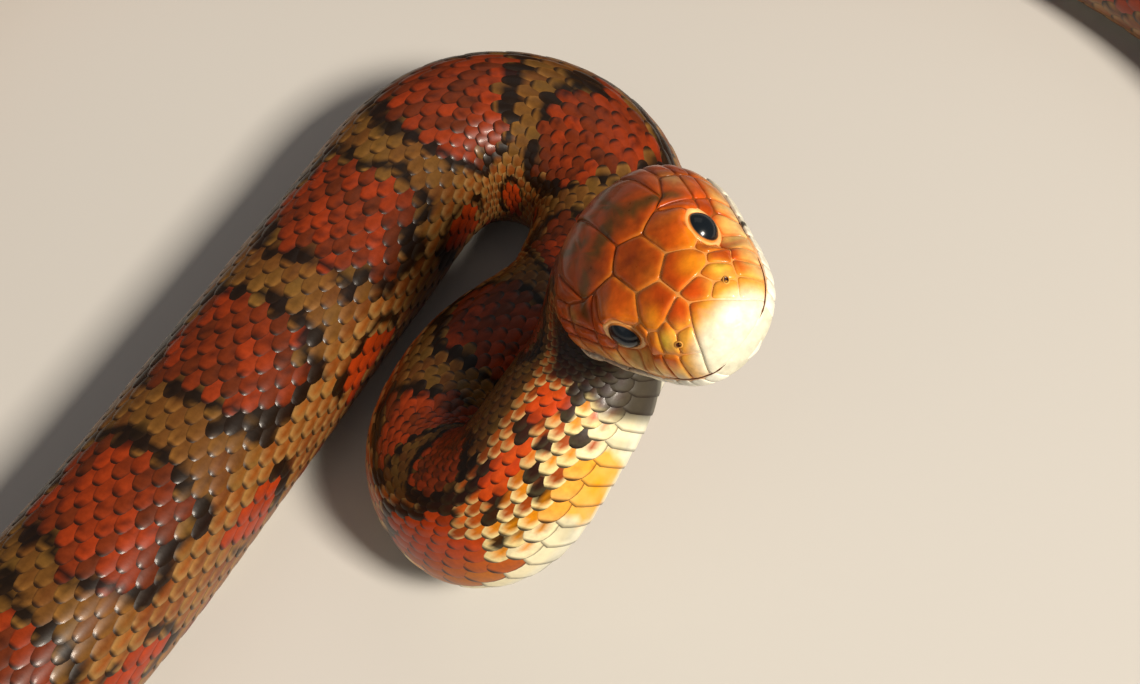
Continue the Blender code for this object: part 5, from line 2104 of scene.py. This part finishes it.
    def eyeball(self, side: Side) -> bpy.types.Object:
        """One eye: a smooth ball with its pupil to the side and a little forward.

        Args:
            side: the head's side.

        Returns:
            The finished piece.
        """
        name = f"eyeball_{side.tag}"
        axis = self.form.eye_axes(side)[1]
        centre = side.turn([EYE_CENTRE])
        place = self.form.from_head(centre)[0]
        tip = self.form.from_head(centre + axis)[0]
        ball = bmesh.new()
        bmesh.ops.create_uvsphere(ball, u_segments=48, v_segments=32, radius=EYE_RADIUS * MM)
        bmesh.ops.translate(ball, verts=ball.verts, vec=place * MM)
        mesh = bpy.data.meshes.new(name)
        ball.to_mesh(mesh)
        ball.free()
        mesh.shade_smooth()
        finish = Eyeball("WetEye_" + name, tuple(place * MM), tuple(tip - place))
        mesh.materials.append(finish.material())
        return stand(name, mesh)


@dataclass
class Skin:
    """The one skin under all scales and plates."""

    form: Form
    markings: Markings
    coat: Coat
    around: int = 120
    # Rings of points: the snout's first, last and count, then first, last and step, first and step.
    snout_rings: tuple[float, float, int] = (0.12, 1.0, 6)
    head_rings: tuple[float, float, float] = (1.3, 33.0, 0.32)
    body_rings: tuple[float, float] = (34.0, 2.1)
    # Its depth under the scales' tops: a base and a share of the pitch, and under the plates.
    depth: tuple[float, float] = (0.20, 0.085)
    plate_depth: float = 0.04
    end_gap: float = 0.4
    merge_mm: float = 0.002
    map_bands: int = 6

    def build(self, material: bpy.types.Material) -> bpy.types.Object:
        """A tube from the snout to the tail's tip, bent from a flat grid.

        Args:
            material: the finish that it wears.

        Returns:
            The finished piece.
        """
        length = self.form.line.length - self.end_gap
        start, step = self.body_rings
        snout, head = np.linspace(*self.snout_rings), np.arange(*self.head_rings)
        s = np.r_[snout, head, np.arange(start, length, step), length]
        count = len(s)
        sheet = bmesh.new()
        bmesh.ops.create_grid(sheet, x_segments=self.around, y_segments=count - 1, size=1.0)
        mesh = bpy.data.meshes.new("skin")
        sheet.to_mesh(mesh)
        sheet.free()
        flat = np.empty(len(mesh.vertices) * 3)
        mesh.vertices.foreach_get("co", flat)
        flat = flat.reshape(-1, 3)
        column = np.rint((flat[:, 0] + 1) / 2 * self.around).astype(int) % self.around
        row = np.rint((flat[:, 1] + 1) / 2 * (count - 1)).astype(int)
        along = s[row]
        angle = column / self.around * 360.0
        angle = np.where(angle > 180, angle - 360, angle)
        pitch = self.coat.pitch(along)[:, 0]
        base, share = self.depth
        lift = -(base + share * pitch) * ease(along, 26, 34) - self.plate_depth
        lift = lift * np.clip((length + 2 - along) / 6.0, 0.2, 1.0)
        points = self.form.place(along, angle, lift)
        mesh.vertices.foreach_set("co", (points * MM).ravel())
        mesh.update()
        tube = bmesh.new()
        tube.from_mesh(mesh)
        bmesh.ops.remove_doubles(tube, verts=tube.verts, dist=self.merge_mm * MM)
        rims = [edge for edge in tube.edges if edge.is_boundary]
        bmesh.ops.holes_fill(tube, edges=rims, sides=0)
        bmesh.ops.recalc_face_normals(tube, faces=tube.faces)
        tube.to_mesh(mesh)
        tube.free()
        mesh.materials.append(material)
        made = stand("skin", mesh)
        self.colour(made, along, angle, points)
        made.data.shade_smooth()
        return made

    def colour(
        self, made: bpy.types.Object, along: Array, angle: Array, points: Array
    ) -> None:
        """Markings and bake map of the skin, found again for its merged points.

        Args:
            made: the piece.
            along: where each grid point lies along the body.
            angle: and round it.
            points: its place in millimetres.
        """
        mesh = made.data
        merged = np.empty(len(mesh.vertices) * 3)
        mesh.vertices.foreach_get("co", merged)
        merged = np.round(merged.reshape(-1, 3) / MM, 2)
        known = {tuple(key): i for i, key in enumerate(np.round(points, 2))}
        pick = np.array([known.get(tuple(key), 0) for key in merged])
        s, a = along[pick], angle[pick]
        t = self.markings.tints
        zero = np.zeros_like(s)
        ring = self.coat.lean(s, a, -1.0)
        body = self.markings.scale_colours(ring, a, ring, a, zero + 0.9, zero, zero) * 0.45
        belly = self.markings.belly_colours(ring, a, np.floor(s / 4.0)) * 0.7
        body = np.where((np.abs(a) > self.coat.belly_edge(s)[:, 0])[:, None], belly, body)
        x = SNOUT_X - s
        _, z = self.form.head_section(x, np.radians(a))
        head = blend(t.groove, t.groove_dark, ease(-x, -4.0, 3.0))
        # Ivory skin at the snout's tip: partly its own colour, partly a painted highlight.
        head = blend(head, t.ivory, ease(x, 9.5, 11.5))
        head = blend(head, t.ivory * 0.8, ease(self.form.mouth(x)[:, 0] - z, -0.1, 0.5))
        tint(made, blend(head, body, ease(s, 27.0, 31.0)))
        self.lay_flat(mesh, s, a)

    def lay_flat(self, mesh: bpy.types.Mesh, s: Array, a: Array) -> None:
        """The skin's bake map: the body cut along the back and laid out in bands.

        Args:
            mesh: the skin's mesh.
            s: where each of its points lies along the body.
            a: and round it.
        """
        layer = mesh.uv_layers.new(name="OFBake")
        index = np.empty(len(mesh.loops), np.int32)
        mesh.loops.foreach_get("vertex_index", index)
        bands = self.map_bands
        span = self.form.line.length / bands
        turn = (a[index] % 360.0) / 360.0
        face_of_loop = np.repeat(np.arange(len(mesh.polygons)), [p.loop_total for p in mesh.polygons])
        size = np.bincount(face_of_loop)
        mean_turn = np.bincount(face_of_loop, turn) / size
        turn = np.where((turn < 0.25) & (mean_turn[face_of_loop] > 0.45), turn + 1.0, turn)
        mean_s = np.bincount(face_of_loop, s[index]) / size
        band = np.minimum(np.floor(mean_s / span), bands - 1)[face_of_loop]
        u = 0.01 + 0.98 * np.clip((s[index] - band * span) / span, -0.01, 1.01)
        v = (band + 0.04 + 0.92 * turn) / bands
        layer.data.foreach_set("uv", np.stack([u, v], axis=1).astype(np.float32).ravel())


@dataclass
class ThroatCoat:
    """Small scales under the head, between the chin shields and the first scutes."""

    form: Form
    markings: Markings
    rings: int = 10
    first: float = 12.5
    ring_step: float = 2.05
    rows_each_side: int = 6
    row_step: float = 11.5
    half_width: float = 6.2
    length: float = 3.2
    thickness: float = 0.2

    def build(self, material: bpy.types.Material) -> bpy.types.Object:
        """Rows of small smooth scales across the throat.

        Args:
            material: the finish that it wears.

        Returns:
            The finished piece.
        """
        cut = ScaleCut(along=(0.0, 0.3, 0.6, 0.82, 0.95, 1.0), across=(-1.0, -0.55, 0.0, 0.55, 1.0))
        u, v = cut.grid()
        faces, rim = cut.faces()
        low = np.array(rim)
        rows = []
        for ring in range(self.rings):
            s0 = self.first + self.ring_step * ring
            for k in range(-self.rows_each_side, self.rows_each_side + 1):
                if abs(k) <= 2 + ring * 1.2 or s0 >= 27:
                    rows.append((s0 + (1.0 if k % 2 else 0.0), 180 + k * self.row_step))
        table = np.array(rows)
        s = table[:, :1] + (u[None] - 0.5) * self.length
        angle = table[:, 1:] + v[None] * self.half_width * cut.width(u)[None]
        lift = -0.22 * (1 - u[None] ** 1.2) + 0.10 * (1 - v[None] ** 2) + 0 * s
        signed = np.where(angle > 180, angle - 360, angle)
        top = self.form.place(s, signed, lift).reshape(*s.shape, 3)
        under = self.form.place(s[:, low], signed[:, low], lift[:, low] - self.thickness)
        points = np.concatenate([top, under.reshape(len(rows), -1, 3)], axis=1)
        joined = copies(faces, *points.shape[:2])
        made = make_object("throat_scales", points.reshape(-1, 3), joined, material)
        t = self.markings.tints
        tone = blend(t.ivory[None], t.tan[None] * 0.9, ease(np.abs(v[None]), 0.6, 1.0) * 0.5 + 0 * s)
        # Painted shade: the throat scales' walls are darker than their tops.
        tint(made, np.concatenate([tone, tone[:, low] * 0.6], axis=1).reshape(-1, 3))
        map_u = (table[:, :1] - 10 + u[None] * 1.6) / 26
        map_v = (table[:, 1:] - 90 + v[None] * 4.5) / 185
        spot = np.stack([map_u, map_v], axis=-1)
        unwrap(made, np.concatenate([spot, spot[:, low]], axis=1).reshape(-1, 2))
        smooth(made, SCALE_CREASE)
        return made


@dataclass(frozen=True)
class Lamp:
    """A square soft lamp that faces the head."""

    name: str
    place: tuple[float, float, float]
    size: float
    watts: float
    tone: str

    def light(self) -> None:
        """Hangs the lamp in the scene."""
        data = bpy.data.lights.new(self.name, "AREA")
        data.size = self.size * MM
        data.energy = self.watts
        data.color = tuple(linear(self.tone))
        lamp = bpy.data.objects.new(self.name, data)
        lamp.location = tuple(c * MM for c in self.place)
        towards = unit(np.array([0.0, 0.0, 30.0]) - np.array(self.place))
        turn = math.atan2(towards[1], towards[0]) - math.pi / 2
        lamp.rotation_euler = (math.acos(-towards[2]), 0.0, turn)
        bpy.context.scene.collection.objects.link(lamp)


@dataclass
class Studio:
    """Camera, pale floor and soft lamps."""

    camera_place: tuple[float, float, float] = (-8.41, -135.56, 287.58)
    camera_tilt: float = 30.0
    lens: float = 75.158
    sensor: float = 36.0
    air: tuple[float, float, float, float] = (1.0, 0.99, 0.97, 1.0)
    air_strength: float = 0.14
    floor_size: float = 3.0
    floor_drop: float = 0.00005
    lamps: tuple[Lamp, ...] = (
        Lamp("key", (540.0, -460.0, 900.0), 250.0, 19.5, "#FFF3E2"),
        Lamp("fill", (-380.0, -260.0, 420.0), 420.0, 0.18, "#FFFDF8"),
        Lamp("back", (60.0, 420.0, 420.0), 300.0, 0.12, "#FFFAF2"),
    )

    def build(self) -> None:
        """Sets up the photo's view and a plain studio."""
        camera = bpy.data.cameras.new("camera")
        camera.lens = self.lens
        camera.sensor_width = self.sensor
        camera.clip_start = 0.01
        eye = bpy.data.objects.new("camera", camera)
        eye.location = tuple(c * MM for c in self.camera_place)
        eye.rotation_euler = (math.radians(self.camera_tilt), 0.0, 0.0)
        bpy.context.scene.collection.objects.link(eye)
        bpy.context.scene.camera = eye
        self.floor()
        for lamp in self.lamps:
            lamp.light()
        world = bpy.data.worlds.new("studio_air")
        world.use_nodes = True
        background = world.node_tree.nodes["Background"]
        background.inputs["Color"].default_value = self.air
        background.inputs["Strength"].default_value = self.air_strength
        bpy.context.scene.world = world
        # Plain sRGB keeps the pigments as strong as the photo shows them.
        bpy.context.scene.view_settings.view_transform = "Standard"

    def floor(self) -> None:
        """A wide pale sheet that is not part of the model."""
        sheet = bmesh.new()
        bmesh.ops.create_grid(sheet, x_segments=8, y_segments=8, size=self.floor_size)
        mesh = bpy.data.meshes.new("floor")
        sheet.to_mesh(mesh)
        sheet.free()
        mesh.materials.append(PaintedFloor().material())
        floor = stand("floor", mesh)
        floor.location = (0.0, 0.0, -self.floor_drop)


# The solids that the one skin stands in for.
FLESH = (
    "head", "jaw", "neck", "forebody_rise", "forebody_bend", "forebody_rear",
    *(f"body_{k:02d}" for k in range(1, 21)), "tail_1", "tail_2", "tail_tip",
)


def model_shift() -> Array:
    """How far the solids stand from the route's own coordinates, in millimetres.

    Returns:
        The shift of every point.
    """
    low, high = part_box("eye_left")
    middle = (np.array(low) + np.array(high)) / 2 / MM
    plain = CentreLine(np.zeros(3))
    return middle - plain.on_head(*EYE_CENTRE)


def keep(made: bpy.types.Object, slot: str, replaced: tuple = ()) -> None:
    """Ties a finished piece to the model's one body and logs it.

    Args:
        made: the piece.
        slot: the finish slot that it is meant for, which is only logged.
        replaced: the solids that it stands in for.
    """
    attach(made, "root")
    if replaced:
        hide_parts(*replaced)
    triangles = sum(p.loop_total - 2 for p in made.data.polygons)
    LOG.info("%s: %d triangles, slot %s", made.name, triangles, slot)


def main() -> None:
    """Builds every piece of the snake and the studio round it."""
    logging.basicConfig(level=logging.INFO, format="%(name)s: %(message)s")
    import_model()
    line = CentreLine(model_shift())
    form = Form(line)
    markings = Markings(Tints(), line.length)
    coat = Coat(form, markings)
    # Shed-smooth scale horn: a thin gloss over strong pigment.
    scale_horn = Keratin("CornSnakeScaleHorn").material()
    # Head plates are smoother and wetter-looking than the body's scales.
    plate_horn = Keratin(
        "CornSnakePlateHorn", gloss=0.30, coat=0.16, mottle=0.20, grain_depth=0.1
    ).material()
    # Belly scutes: smooth pale horn with a duller sheen.
    scute_horn = Keratin(
        "CornSnakeScuteHorn", gloss=0.38, coat=0.12, mottle=0.08, grain_depth=0.06
    ).material()
    # Bare skin between the scales: soft and nearly matt.
    soft_skin = Keratin("CornSnakeBareSkin", gloss=0.5, coat=0.1, mottle=0.2, grain_depth=0.2).material()
    keep(Skin(form, markings, coat).build(soft_skin), "body_skin", FLESH)
    for piece in [*coat.build(scale_horn), *coat.scutes(scute_horn)]:
        keep(piece, "body_skin")
    keep(ThroatCoat(form, markings).build(scute_horn), "jaw_skin")
    dress = HeadDress(form, markings)
    plates = dress.plates()
    keep(dress.mesh_plates(Region.HEAD, plates[Region.HEAD], plate_horn), "head_skin")
    keep(dress.mesh_plates(Region.JAW, plates[Region.JAW], plate_horn), "jaw_skin")
    for side in Side:
        keep(dress.eye_rim(side, plate_horn), "head_skin")
        keep(dress.mouth_seam(side, soft_skin), "head_skin")
        keep(dress.nostril(side, plate_horn), "head_skin")
        keep(dress.eyeball(side), "eye", (f"eye_{side.tag}",))
    Studio().build()


if __name__ == "__main__":
    main()
